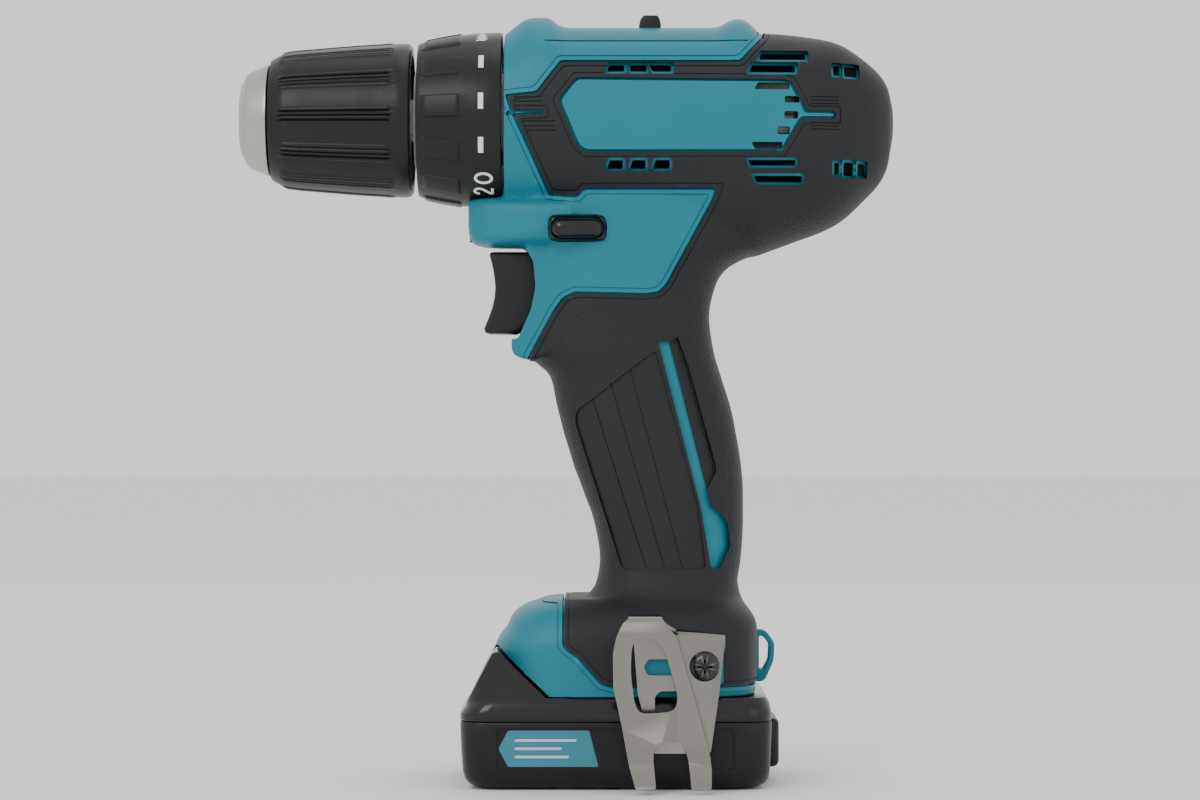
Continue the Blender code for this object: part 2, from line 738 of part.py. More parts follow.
# ------------------------------------------------------------------ chuck
def jaw_centre(x):
    return JAW_FACE_R + 0.9 + (x - JAW_FRONT_X) * math.tan(JAW_TILT)


def tilted_pin(name, x0, x1, radius, angle, mat, segments=14):
    """Round bar that follows a jaw's sloping line between x0 and x1."""
    rings = []
    for x in (x0, x1):
        ring = []
        for i in range(segments):
            turn = 2 * math.pi * (i + 0.41) / segments
            across = radius * math.cos(turn)
            out = jaw_centre(x) + radius * math.sin(turn) * math.cos(JAW_TILT)
            along = x - radius * math.sin(turn) * math.sin(JAW_TILT)
            y = out * math.sin(angle) + across * math.cos(angle)
            z = out * math.cos(angle) - across * math.sin(angle)
            ring.append((along, y, SPINDLE_Z + z))
        rings.append(ring)
    return loft(name, rings, mat)


def jaw_face_cutter(angle):
    """Wedge that leaves the jaw a two-sided gripping face."""
    rings = []
    for x in (-110.0, -50.0):
        ring = []
        for across, out in ((0.0, JAW_FACE_R), (12.0, JAW_FACE_R + 6.95), (12.0, -14.0), (-12.0, -14.0),
                            (-12.0, JAW_FACE_R + 6.95)):
            y = out * math.sin(angle) + across * math.cos(angle)
            z = out * math.cos(angle) - across * math.sin(angle)
            ring.append((x, y, SPINDLE_Z + z))
        rings.append(ring)
    return loft("face_cut", rings, dark_steel())


def chuck():
    body = turned("chuck_body", (
        (CHUCK_LIP_X, 6.0), (-102.4, 10.3), (-101.0, 12.6), (-95.2, 15.3), (-95.2, CHUCK_CORE_R),
        (-57.6, CHUCK_CORE_R), (-57.6, 5.3), (-70.0, 5.3), (-70.0, 2.7),
        (-72.0, 2.7), (-72.0, BIT_BORE_R), (CHUCK_LIP_X + 0.8, BIT_BORE_R),
    ), satin_steel(), 28)
    for index in range(3):
        angle = 2 * math.pi * index / 3
        cut(body, tilted_pin("jaw_bore", -109.0, -60.8, JAW_R + GAP, angle, satin_steel()))
        jaw = tilted_pin("chuck_jaw_%d" % (index + 1), JAW_FRONT_X, JAW_FRONT_X + JAW_LENGTH, JAW_R, angle,
                         dark_steel())
        cut(jaw, jaw_face_cutter(angle))
    turned("chuck_screw", (
        (-74.8, 1.2), (-74.8, 3.4), (-74.0, 4.3), (-72.3, 4.3), (-72.3, 2.3), (-58.0, 2.3), (-58.0, 1.2),
    ), dark_steel())
    turned("chuck_back_ring", (
        (-59.8, CHUCK_CORE_R + GAP), (-59.8, 17.3), (-57.0, 17.3), (-57.0, CHUCK_CORE_R + GAP),
    ), satin_steel(), 28)
    turned("chuck_nut", ((-84.0, 12.0), (-84.0, 17.0), (-79.6, 17.0), (-79.6, 12.0)), dark_steel(), 28)
    sleeve = turned("chuck_sleeve", (
        (SLEEVE_FRONT_X, 12.0), (SLEEVE_FRONT_X, 16.5), (-90.3, 18.7), (-70.5, 20.35), (-60.4, 21.1),
        (-57.0, 21.1), (SLEEVE_REAR_X, 20.4), (SLEEVE_REAR_X, 17.7), (-85.0, 17.4), (-86.0, 12.0),
    ), black_plastic(), SMOOTH_SEGMENTS)
    for vertex in sleeve.data.vertices:
        x, y, z = (c / MM for c in vertex.co)
        index = round(math.atan2(y, z - SPINDLE_Z) / (2 * math.pi) * SMOOTH_SEGMENTS) % 3
        if index == 0 and -91.0 < x < -60.0 and math.hypot(y, z - SPINDLE_Z) > 18.0:
            vertex.co = (x * MM, y * 0.982 * MM, (SPINDLE_Z + (z - SPINDLE_Z) * 0.982) * MM)


# ------------------------------------------------------------------ controls
def controls():
    outline = (
        (-35.1, 144.4), (-33.7, 139.7), (-33.1, 134.8), (-33.9, 129.3), (-36.1, 123.6), (-35.0, 122.2),
        (-26.0, 122.0), (-18.0, 126.0), (-18.0, 144.4),
    )
    trigger = prism("trigger", outline, -TRIGGER_HALF_WIDTH, TRIGGER_HALF_WIDTH, black_plastic())
    soften(trigger, 1.2)
    stem = rod_x("stem", -18.6, -9.2, 3.0, TRIGGER_Z, black_plastic())
    join(trigger, stem)
    coil("trigger_spring", -17.7, -9.6, 4.6, 0.5, 3.5, TRIGGER_Z, satin_steel())
    switch = box("switch_body", -9.2, 16.8, -10.5, 10.5, 122.5, 146.6, grey_plastic())
    cut(switch, rod_x("stem_space", -12.0, -9.2 + TRIGGER_TRAVEL + 0.8, 3.4, TRIGGER_Z, grey_plastic()))
    bar = box("direction_lever", -17.7, -3.5, -22.6, 22.6, 147.6, 153.2, black_plastic())
    soften(bar, 1.6)
    knob_outline = ((6.2, 203.2), (12.2, 203.2), (12.2, 206.8), (11.5, 209.3), (7.2, 209.3), (6.2, 206.8))
    knob = prism("speed_selector", knob_outline, -5.4, 5.4, black_plastic())
    join(knob, box("plate", 3.0, 15.4, -8.0, 8.0, 199.6, 201.9, black_plastic()),
         box("stem", 6.8, 11.6, -4.0, 4.0, 201.0, 204.0, black_plastic()))
    rod_x("lamp_lens", -40.3, -35.8, 3.3, 151.1, lamp_plastic())


def rod_x(name, x0, x1, radius, z, mat, segments=16):
    rings = []
    for x in (x0, x1):
        ring = []
        for i in range(segments):
            angle = 2 * math.pi * (i + 0.5) / segments
            ring.append((x, radius * math.sin(angle), z + radius * math.cos(angle)))
        rings.append(ring)
    return loft(name, rings, mat)


# ------------------------------------------------------------------ belt clip
def belt_clip():
    """Bent sheet: a plate screwed to the foot, folded over into the hook that hangs outside it."""
    sheet = 1.1
    plate_y = -SEAT_Y - 0.4
    # distance out from the plate, z, and the x span of the sheet at that height
    stations = (
        (0.0, 10.0, 9.5, 24.9), (0.0, 26.0, 5.5, 27.2), (0.0, 40.0, 4.3, 28.8), (0.4, 42.0, 4.3, 28.8),
        (1.4, 43.6, 3.4, 14.0), (3.0, 46.6, 3.2, 12.0), (5.0, 47.2, 3.2, 11.6), (6.8, 45.6, 1.8, 13.4),
        (7.6, 42.0, -0.2, 15.6), (7.6, 36.0, -1.1, 17.2), (7.6, 28.0, -1.0, 19.6), (7.6, 18.0, 1.2, 22.4),
        (7.6, 9.4, 3.2, 24.7), (8.8, 7.6, 3.5, 24.9), (10.4, 2.2, 4.8, 24.9),
    )
    path = [(plate_y - out, z, x0, x1) for out, z, x0, x1 in stations]
    hook_y = plate_y - 5.4
    rings = []
    last = len(path) - 1
    for i, (y, z, x0, x1) in enumerate(path):
        y_before, z_before = path[max(i - 1, 0)][:2]
        y_after, z_after = path[min(i + 1, last)][:2]
        run = math.hypot(y_after - y_before, z_after - z_before)
        ny = -(z_after - z_before) / run * sheet
        nz = (y_after - y_before) / run * sheet
        rings.append([(x0, y, z), (x1, y, z), (x1, y + ny, z + nz), (x0, y + ny, z + nz)])
    clip = loft("belt_clip", rings, nickel_steel())
    hook_slot = (
        (6.0, 41.4), (9.8, 41.2), (12.6, 38.0), (16.1, 26.0), (15.4, 21.8), (6.2, 21.0), (4.6, 23.6),
        (3.6, 32.0), (3.9, 39.4),
    )
    upper_slot = ((7.1, 33.0), (8.2, 30.8), (16.1, 30.8), (16.1, 35.1), (8.2, 35.1))
    lower_slot = ((10.1, 18.4), (18.9, 18.4), (18.9, 24.6), (17.0, 26.6), (12.0, 26.6), (10.1, 24.6))
    fork = ((10.3, -5.0), (19.4, -5.0), (17.8, 10.6), (16.2, 13.7), (11.0, 13.7), (9.6, 12.0))
    cut(
        clip,
        prism("hook_slot", hook_slot, hook_y - 7.0, hook_y, nickel_steel()),
        prism("fork", fork, hook_y - 12.0, hook_y, nickel_steel()),
        prism("slot", upper_slot, plate_y - 3.4, plate_y + 2.6, nickel_steel()),
        prism("slot", lower_slot, plate_y - 3.4, plate_y + 2.6, nickel_steel()),
        pin_y("screw_space", 23.3, 33.2, 2.2, plate_y - 3.4, plate_y + 2.6, nickel_steel(), 12),
    )
    head_in = plate_y - sheet - GAP
    head = pin_y("belt_clip_screw", 23.3, 33.2, 4.0, head_in - 2.4, head_in, screw_black(), 20)
    soften(head, 0.8)
    join(head, pin_y("shank", 23.3, 33.2, 1.8, head_in - 0.6, -25.0, screw_black(), 12))
    cross = join(
        box("slot", 22.9, 23.7, head_in - 4.0, head_in - 1.1, 31.2, 35.2, screw_black()),
        box("slot", 21.3, 25.3, head_in - 4.0, head_in - 1.1, 32.8, 33.6, screw_black()),
    )
    cut(head, cross)


# ------------------------------------------------------------------ battery
def case_ring(z, front, rear, half_width, inset=0.0, power=6.0):
    middle = (front + rear) / 2
    section = oval(20, (rear - front) / 2 - inset, half_width - inset, half_width - inset, power)
    return [(middle + a, b, z) for a, b in section]


def battery_lower():
    width = BATTERY_HALF_WIDTH
    rows = (
        (0.0, BATTERY_FRONT_X + 6.5, BATTERY_REAR_X - 5.5, width - 5.5),
        (1.2, BATTERY_FRONT_X + 2.8, BATTERY_REAR_X - 2.4, width - 2.4),
        (4.2, BATTERY_FRONT_X + 0.9, BATTERY_REAR_X - 0.2, width - 0.3),
        (BATTERY_PART_Z - GAP / 2, BATTERY_FRONT_X, BATTERY_REAR_X, width),
    )
    case = loft("battery_case_lower", [case_ring(*row) for row in rows], black_plastic())
    join(case, soften(box("rear_bump", 39.0, 44.2, -12.0, 12.0, 4.2, 17.6, black_plastic()), 1.0))
    hollow = [case_ring(z, BATTERY_FRONT_X, BATTERY_REAR_X, width, 2.6, 10.0) for z in (2.0, 22.0)]
    cut(case, loft("hollow", hollow, black_plastic()))


def battery_upper():
    width = BATTERY_HALF_WIDTH
    rows = (
        (BATTERY_PART_Z + GAP / 2, BATTERY_FRONT_X, BATTERY_REAR_X, width),
        (20.5, BATTERY_FRONT_X + 0.4, BATTERY_REAR_X, width),
        (BATTERY_TOP_Z - 1.0, BATTERY_FRONT_X + 2.2, BATTERY_REAR_X - 0.6, width - 0.5),
        (BATTERY_TOP_Z - 0.5, BATTERY_FRONT_X + 3.0, BATTERY_REAR_X - 1.4, width - 1.4),
    )
    case = loft("battery_case_upper", [case_ring(*row) for row in rows], black_plastic())
    rise = ((-39.2, 22.4), (-39.2, 24.7), (-33.4, 36.6), (-31.8, 36.8), (-19.0, 24.7), (-19.0, 22.4))
    plan = [case_ring(z, -40.6, 40.0, width - 1.9, 0.0, 4.0) for z in (10.0, 50.0)]
    raised_front = prism("rise", rise, 3.0 - width, width - 3.0, black_plastic())
    join(case, keep(raised_front, loft("plan", plan, black_plastic())))
    join(case, box("rail_neck", -30.0, 20.0, -12.6, 12.6, 23.0, 27.4, black_plastic()),
         box("rail_head", -20.0, 20.0, -16.0, 16.0, 27.1, 30.5, black_plastic()))
    hollow = [case_ring(z, BATTERY_FRONT_X + 2.0, BATTERY_REAR_X, width, 2.6, 10.0) for z in (17.0, 21.6)]
    cut(case, loft("hollow", hollow, black_plastic()))
    cut(case, box("latch_space", -50.0, -26.2, -8.4, 8.4, 25.4, 45.0, black_plastic()))


def battery():
    battery_lower()
    battery_upper()
    for index, y in enumerate((-18.5, 0.0, 18.5)):
        rings = []
        for x, radius in ((-33.5, 8.2), (-32.8, 9.0), (30.6, 9.0), (31.3, 8.2)):
            ring = []
            for i in range(16):
                angle = 2 * math.pi * i / 16
                ring.append((x, y + radius * math.sin(angle), 11.8 + radius * math.cos(angle)))
            rings.append(ring)
        loft("battery_cell_%d" % (index + 1), rings, cell_wrap())
    latch_outline = ((-37.5, 28.4), (-35.0, 33.4), (-29.0, 33.4), (-26.6, 31.4), (-26.6, 28.4))
    latch = soften(prism("battery_latch", latch_outline, -8.0, 8.0, grey_plastic()), 0.6)
    join(latch, prism("tooth", ((-29.6, 31.0), (-29.3, 35.0), (-27.0, 33.7), (-27.0, 31.0)), -5.0, 5.0,
                      grey_plastic()))
    spring_hole = [[(-31.0 + 2.8 * math.cos(a), 2.8 * math.sin(a), z) for a in
                    (2 * math.pi * i / 14 for i in range(14))] for z in (27.0, 31.6)]
    cut(latch, loft("spring_hole", spring_hole, grey_plastic()))
    coil("latch_spring", 25.7, 31.3, 2.0, 0.35, 3, 0.0, satin_steel(), "z", -31.0)
    block = box("terminal_block", 22.0, 32.6, -11.0, 11.0, 27.9, 36.0, grey_plastic())
    cut(block, box("slot", 20.0, 26.0, -7.0, -5.6, 27.0, 34.0, grey_plastic()),
        box("slot", 20.0, 26.0, 5.6, 7.0, 27.0, 34.0, grey_plastic()))


def main():
    for obj in list(bpy.context.scene.objects):
        bpy.data.objects.remove(obj)
    housing_and_covers()
    housing_screws()
    gear_train()
    motor()
    clutch()
    chuck()
    controls()
    belt_clip()
    battery()


main()
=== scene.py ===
"""A compact cordless drill driver on its battery pack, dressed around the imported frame."""
import math

import bmesh
import bpy
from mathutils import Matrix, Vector


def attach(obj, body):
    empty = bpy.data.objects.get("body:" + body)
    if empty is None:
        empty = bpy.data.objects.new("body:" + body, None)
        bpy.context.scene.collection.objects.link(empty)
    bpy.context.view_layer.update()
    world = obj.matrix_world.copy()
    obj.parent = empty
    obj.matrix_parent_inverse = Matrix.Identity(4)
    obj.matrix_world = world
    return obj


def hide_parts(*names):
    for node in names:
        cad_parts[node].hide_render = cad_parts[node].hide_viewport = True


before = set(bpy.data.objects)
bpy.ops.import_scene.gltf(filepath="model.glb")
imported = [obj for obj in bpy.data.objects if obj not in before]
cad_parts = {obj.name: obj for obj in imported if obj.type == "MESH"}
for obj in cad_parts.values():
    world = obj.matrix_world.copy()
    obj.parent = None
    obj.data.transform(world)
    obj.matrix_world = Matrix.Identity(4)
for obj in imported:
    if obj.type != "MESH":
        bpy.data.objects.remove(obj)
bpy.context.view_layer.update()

MM = 0.001
SPINDLE_Z = 180.8
AXIS = Vector((0.0, 0.0, SPINDLE_Z * MM))
LAMP_Z = 151.1
CLIP_SCREW = (23.3, 33.2)
CASE_SCREWS = ((64.0, 187.5), (62.5, 171.5), (23.5, 147.0), (-31.5, 150.8), (7.5, 101.0), (-18.0, 43.0))
CLAY_GRAIN = 0.85
SOFTENING = 7
TEAL_SINK = 0.35
COVER_THICKNESS = 1.5
SHELL_THICKNESS = 3.0


# ---- working by hand
def nothing_selected():
    if bpy.context.object and bpy.context.object.mode != "OBJECT":
        bpy.ops.object.mode_set(mode="OBJECT")
    bpy.ops.object.select_all(action="DESELECT")


def pick(obj):
    nothing_selected()
    obj.select_set(True)
    bpy.context.view_layer.objects.active = obj
    return obj


def named(name):
    obj = bpy.context.object
    obj.name = name
    obj.data.name = name
    return obj


def set_in_mesh(obj):
    """Place the object's turn and size into its mesh and leave it at the origin."""
    pick(obj)
    bpy.ops.object.transform_apply(location=True, rotation=True, scale=True)
    return obj


def edit(obj):
    pick(obj)
    bpy.ops.object.mode_set(mode="EDIT")
    return bmesh.from_edit_mesh(obj.data)


def done():
    bpy.ops.object.mode_set(mode="OBJECT")


def face_outward(obj, merge=0.001):
    edit(obj)
    bpy.ops.mesh.select_all(action="SELECT")
    bpy.ops.mesh.remove_doubles(threshold=merge * MM)
    bpy.ops.mesh.normals_make_consistent(inside=False)
    done()
    return obj


def put_ring(work, points, before=None):
    """Move the selected ring of vertices onto the section's points, in order."""
    chosen = [v for v in work.verts if v.select]
    if before is None:
        order = sorted(chosen, key=lambda v: v.index)
    else:
        where = {tuple(round(c, 3) for c in p): i for i, p in enumerate(before)}
        order = [None] * len(points)
        for v in chosen:
            order[where[tuple(round(c / MM, 3) for c in v.co)]] = v
    for v, p in zip(order, points):
        v.co = Vector(p) * MM


def rounded3(points):
    return [tuple(round(c, 3) for c in p) for p in points]


def tower(name, sections):
    """Start from a filled ring and draw it out, one section at a time, into a closed form."""
    sections = [rounded3(s) for s in sections]
    nothing_selected()
    bpy.ops.mesh.primitive_circle_add(vertices=len(sections[0]), radius=MM, fill_type="NGON")
    obj = named(name)
    work = edit(obj)
    work.verts.ensure_lookup_table()
    bpy.ops.mesh.select_all(action="SELECT")
    put_ring(work, sections[0])
    for before, points in zip(sections, sections[1:]):
        bpy.ops.mesh.extrude_region_move()
        work = bmesh.from_edit_mesh(obj.data)
        put_ring(work, points, before)
    bmesh.update_edit_mesh(obj.data)
    done()
    return face_outward(obj)


def slab(name, outline, y0, y1):
    """A side outline, (x, z), filled and drawn across from y0 to y1."""
    return tower(name, [[(x, y0, z) for x, z in outline], [(x, y1, z) for x, z in outline]])


def block(name, x0, x1, y0, y1, z0, z1, edge=0.0, steps=2):
    nothing_selected()
    middle = ((x0 + x1) / 2 * MM, (y0 + y1) / 2 * MM, (z0 + z1) / 2 * MM)
    bpy.ops.mesh.primitive_cube_add(size=1.0, location=middle)
    obj = named(name)
    obj.scale = ((x1 - x0) * MM, (y1 - y0) * MM, (z1 - z0) * MM)
    set_in_mesh(obj)
    return bevelled(obj, edge, steps) if edge else obj


def spun(name, profile, steps=96, centre=AXIS, axis="X"):
    """A closed (along, radius) profile turned about a line along the axis through centre."""
    nothing_selected()
    bpy.ops.mesh.primitive_circle_add(vertices=len(profile), radius=MM)
    obj = named(name)
    work = edit(obj)
    bpy.ops.mesh.select_all(action="SELECT")
    order = sorted(work.verts, key=lambda v: v.index)
    for v, (along, radius) in zip(order, profile):
        radius = max(radius, 0.0)
        if axis == "X":
            v.co = (along * MM, centre.y, centre.z + radius * MM)
        elif axis == "Y":
            v.co = (centre.x, along * MM, centre.z + radius * MM)
        else:
            v.co = (centre.x + radius * MM, centre.y, along * MM)
    bmesh.update_edit_mesh(obj.data)
    line = {"X": (1, 0, 0), "Y": (0, 1, 0), "Z": (0, 0, 1)}[axis]
    bpy.ops.mesh.spin(steps=steps, angle=math.tau, center=centre, axis=line)
    done()
    return face_outward(obj, 0.002)


def soft_shade(obj, angle=35.0):
    pick(obj)
    bpy.ops.object.shade_smooth_by_angle(angle=math.radians(angle))
    return obj


def applied(obj, kind, **settings):
    """Give the object one modifier and apply it."""
    step = obj.modifiers.new(kind.lower(), kind)
    for name, value in settings.items():
        setattr(step, name, value)
    pick(obj)
    bpy.ops.object.modifier_apply(modifier=step.name)
    return obj


def bevelled(obj, width, steps=3, angle=35.0):
    return applied(obj, "BEVEL", width=width * MM, segments=steps, limit_method="ANGLE",
                   angle_limit=math.radians(angle))


def carve(obj, other, operation="DIFFERENCE", keep_other=False):
    applied(obj, "BOOLEAN", operation=operation, solver="MANIFOLD", object=other)
    if not keep_other:
        bpy.data.objects.remove(other)
    return obj


def weld_on(obj, *others):
    for other in others:
        carve(obj, other, "UNION")
    return obj


def take_away(obj, *others):
    for other in others:
        carve(obj, other)
    return obj


def twin(obj, name):
    pick(obj)
    bpy.ops.object.duplicate()
    return named(name)


def joined(name, pieces):
    nothing_selected()
    for piece in pieces:
        piece.select_set(True)
    bpy.context.view_layer.objects.active = pieces[0]
    if len(pieces) > 1:
        bpy.ops.object.join()
    return named(name)


def puffed(obj, amount):
    """Move the whole skin in or out along its normals."""
    return applied(obj, "DISPLACE", strength=amount * MM, mid_level=0.0)


def rod(name, low, high, radius, steps, centre=AXIS, axis="X"):
    """A round cutter along the axis, from low to high."""
    return spun(name, ((low, 0.0), (low, radius), (high, radius), (high, 0.0)), steps, centre, axis)


def at(x, z):
    """A point on the drill's middle plane, from millimetres."""
    return Vector((x * MM, 0, z * MM))


def to_side(side, near, far):
    """The two y values of a piece on the left (-1) or right (1), low one first."""
    return sorted((side * near, side * far))


# ---- outlines
def smooth_at(table, t):
    """Value of a table of (place, value) at t, on a curve that doesn't overshoot."""
    if t <= table[0][0]:
        return table[0][1]
    if t >= table[-1][0]:
        return table[-1][1]
    index = max(i for i in range(len(table) - 1) if table[i][0] <= t)

    def slope(i):
        if i <= 0 or i >= len(table) - 1:
            return 0.0
        left = (table[i][1] - table[i - 1][1]) / (table[i][0] - table[i - 1][0])
        right = (table[i + 1][1] - table[i][1]) / (table[i + 1][0] - table[i][0])
        return 0.0 if left * right <= 0 else 2 * left * right / (left + right)

    (t0, v0), (t1, v1) = table[index], table[index + 1]
    width = t1 - t0
    u = (t - t0) / width
    m0, m1 = slope(index) * width, slope(index + 1) * width
    return ((2 * u**3 - 3 * u**2 + 1) * v0 + (u**3 - 2 * u**2 + u) * m0
            + (-2 * u**3 + 3 * u**2) * v1 + (u**3 - u**2) * m1)


def oval(count, half_a, up, down, power):
    points = []
    for i in range(count):
        angle = math.tau * (i + 0.5) / count
        c, s = math.cos(angle), math.sin(angle)
        points.append((half_a * math.copysign(abs(c) ** (2 / power), c),
                       (up if s > 0 else down) * math.copysign(abs(s) ** (2 / power), s)))
    return points


def grown(outline, amount):
    """The outline with every side moved outward by amount."""
    count = len(outline)
    area = sum(outline[i][0] * outline[(i + 1) % count][1] - outline[(i + 1) % count][0] * outline[i][1]
               for i in range(count))
    side = 1.0 if area > 0 else -1.0
    result = []
    for i in range(count):
        (xa, za), (xb, zb), (xc, zc) = outline[i - 1], outline[i], outline[(i + 1) % count]
        first, second = math.hypot(xb - xa, zb - za), math.hypot(xc - xb, zc - zb)
        n1 = ((zb - za) / first * side, -(xb - xa) / first * side)
        n2 = ((zc - zb) / second * side, -(xc - xb) / second * side)
        scale = amount / max(1 + n1[0] * n2[0] + n1[1] * n2[1], 0.35)
        result.append((xb + (n1[0] + n2[0]) * scale, zb + (n1[1] + n2[1]) * scale))
    return result


def eased(outline, radius, steps=4):
    """The outline with its corners rounded."""
    result = []
    count = len(outline)
    for i in range(count):
        before, corner, after = (Vector(outline[i - 1]), Vector(outline[i]), Vector(outline[(i + 1) % count]))
        a = min(radius, (before - corner).length * 0.45)
        b = min(radius, (after - corner).length * 0.45)
        start = corner + (before - corner).normalized() * a
        end = corner + (after - corner).normalized() * b
        for k in range(steps + 1):
            u = k / steps
            p = start * (1 - u) ** 2 + corner * 2 * u * (1 - u) + end * u**2
            result.append((p.x, p.y))
    return result


# the drill's side lines, (place, value) in millimetres
BARREL_TOP = (
    (-30.9, 204.4), (-29.3, 205.4), (-26.5, 207.7), (-23.8, 209.1), (-18.3, 209.2), (-15.5, 206.9),
    (-12.8, 206.4),
    (27.0, 206.4), (28.5, 206.9), (31.3, 208.6), (34.0, 208.9), (36.8, 207.5), (39.5, 204.6), (45.0, 204.2),
    (50.5, 203.6), (58.8, 202.2), (61.5, 201.2), (64.3, 199.6), (67.0, 197.7), (69.8, 195.5), (72.5, 192.8),
    (74.6, 189.4), (75.8, 184.0),
)
BARREL_BOTTOM = (
    (-30.9, 156.9), (-15.0, 155.0), (10.0, 149.5), (24.0, 144.8), (31.0, 143.2), (36.5, 143.2), (43.4, 145.3),
    (49.4, 147.5), (55.5, 149.7), (60.1, 151.9), (63.2, 154.1), (65.6, 156.3), (67.8, 158.5), (70.0, 160.7),
    (72.0, 162.9), (73.3, 165.1), (75.0, 169.5), (75.8, 175.5),
)
BARREL_HALF = (
    (-30.9, 23.8), (-24.0, 25.3), (-15.0, 26.0), (50.0, 26.0), (56.0, 25.2), (62.0, 23.0), (67.0, 19.6),
    (70.5, 16.4), (73.5, 12.3), (75.0, 9.0), (75.8, 5.0),
)
GRIP_FRONT = (
    (46.0, -10.0), (50.7, -7.8), (52.9, -5.9), (55.1, -5.3), (57.3, -4.8), (60.6, -4.5), (63.9, -4.8),
    (68.3, -5.6),
    (72.7, -6.7), (77.1, -8.4), (81.5, -10.0), (85.9, -11.7), (90.3, -13.0), (94.7, -14.4), (99.1, -15.5),
    (103.5, -16.6), (107.9, -17.4), (110.1, -18.0), (112.3, -19.6), (114.5, -22.4), (118.0, -23.8),
    (128.5, -23.8),
    (134.8, -23.0), (140.0, -23.0), (144.0, -24.0), (162.0, -24.0),
)
GRIP_REAR = (
    (46.0, 36.6), (48.5, 35.1), (50.7, 34.0), (52.9, 33.5), (55.1, 33.2), (57.3, 33.7), (61.7, 34.3),
    (66.1, 34.6),
    (70.5, 34.8), (79.3, 34.8), (85.9, 34.3), (90.3, 33.7), (94.7, 32.9), (99.1, 32.1), (103.5, 31.0),
    (107.9, 29.6), (112.3, 28.2), (116.7, 26.9), (123.3, 25.8), (126.6, 25.5), (129.9, 25.8), (132.1, 26.3),
    (134.3, 26.9), (136.5, 27.7), (138.7, 29.1), (140.9, 31.5), (143.1, 36.0), (145.3, 41.0), (162.0, 46.0),
)
GRIP_HALF = (
    (46.0, 26.4), (48.5, 24.0), (51.0, 21.2), (54.0, 19.4), (58.0, 18.4), (66.0, 18.0), (80.0, 17.9),
    (95.0, 17.6),
    (110.0, 17.3), (120.0, 17.3), (130.0, 17.7), (138.0, 18.5), (144.0, 19.4), (150.0, 20.3), (162.0, 21.6),
)
FOOT_FRONT = (
    (24.2, -33.2), (33.0, -33.2), (37.5, -33.2), (39.7, -32.3), (41.9, -30.4), (44.1, -29.5), (46.3, -27.9),
    (48.5, -24.2), (50.3, -19.0),
)
FOOT_REAR = ((24.2, 38.2), (41.9, 38.4), (44.1, 38.0), (46.3, 36.8), (48.5, 35.0), (50.3, 33.6))
FOOT_HALF = ((24.2, 30.6), (37.5, 30.2), (42.0, 29.3), (45.0, 27.6), (47.5, 25.0), (49.0, 22.6), (50.3, 19.5))

COVER_OUTLINE = (
    (40.3, 216.0), (40.0, 202.3), (33.3, 194.9), (-14.9, 194.9), (-21.4, 186.4), (-29.4, 185.7),
    (-28.2, 181.9),
    (-19.6, 181.7), (-19.6, 180.7), (-27.5, 180.5), (-18.0, 159.7), (-10.7, 159.2), (-8.9, 161.2),
    (27.1, 161.0),
    (25.9, 157.6), (13.6, 135.0), (11.4, 132.9), (8.0, 132.4), (-11.4, 132.9), (-14.4, 131.4), (-16.8, 128.1),
    (-23.4, 115.9), (-25.0, 110.0), (-40.0, 108.0), (-40.0, 50.9), (-14.1, 50.9), (-14.1, 38.6),
    (-13.2, 37.4),
    (-10.4, 35.6), (-4.3, 28.6), (-1.3, 27.6), (60.0, 27.6), (90.0, 27.6), (90.0, 216.0),
)
PANEL = (
    (-10.8, 190.4), (45.2, 189.8), (46.6, 189.2), (50.4, 182.0), (50.6, 181.4), (58.6, 181.3), (58.6, 179.7),
    (49.4, 179.6), (44.2, 170.8), (-8.4, 170.8), (-10.4, 172.4), (-15.5, 184.4),
)
STRIPE = (
    (11.6, 119.6), (14.0, 119.6), (25.4, 74.6), (27.9, 73.2), (29.9, 70.4), (30.6, 64.4), (27.6, 58.6),
    (25.8, 58.8),
    (23.2, 74.3),
)
INLAY = (
    (-11.3, 98.0), (-10.9, 101.3), (-6.5, 104.4), (3.6, 112.4), (10.6, 117.6), (22.2, 74.8), (24.2, 58.4),
    (1.4, 58.2), (-1.1, 66.2), (-3.1, 72.4),
)
REAR_POCKET = ((13.6, 119.2), (16.6, 121.2), (19.6, 112.8), (26.9, 86.4), (26.9, 84.2), (24.4, 79.8),
               (26.0, 74.0),
               (24.8, 74.0))
RIDGES = (((-6.5, 104.4), (8.0, 58.6)), ((-1.6, 108.8), (12.9, 58.6)), ((3.6, 112.4), (17.8, 58.6)))
# slots: front x, rear x, bottom z, top z, lean of the front end
SLOTS = (
    (38.1, 51.1, 195.5, 197.6, 0.8), (35.3, 48.1, 191.9, 194.2, 1.0), (58.2, 60.2, 191.2, 194.3, 0.0),
    (61.2, 65.1, 191.0, 194.2, 0.0), (58.4, 60.0, 164.6, 168.0, 0.0), (61.0, 64.0, 164.3, 168.2, 0.0),
    (65.0, 67.3, 164.5, 168.0, 0.0), (-2.9, 2.2, 192.1, 194.2, 0.9), (3.4, 8.2, 192.1, 194.2, 0.0),
    (9.5, 14.8, 192.1, 194.2, -0.9), (-2.7, 1.8, 166.0, 168.6, 0.7), (3.4, 7.9, 166.0, 168.6, 0.7),
    (9.6, 14.4, 166.0, 168.6, 0.7), (35.8, 48.1, 166.8, 168.6, -0.8), (37.4, 50.0, 162.4, 164.4, -0.8),
)
PANEL_SLOTS = (
    (36.9, 46.4, 187.3, 189.2, 0.9), (45.0, 49.0, 183.7, 185.5, 0.0), (44.9, 48.6, 179.4, 181.4, 0.0),
    (43.0, 46.4, 175.2, 177.3, 0.0), (36.9, 44.4, 171.3, 173.2, -0.8),
)


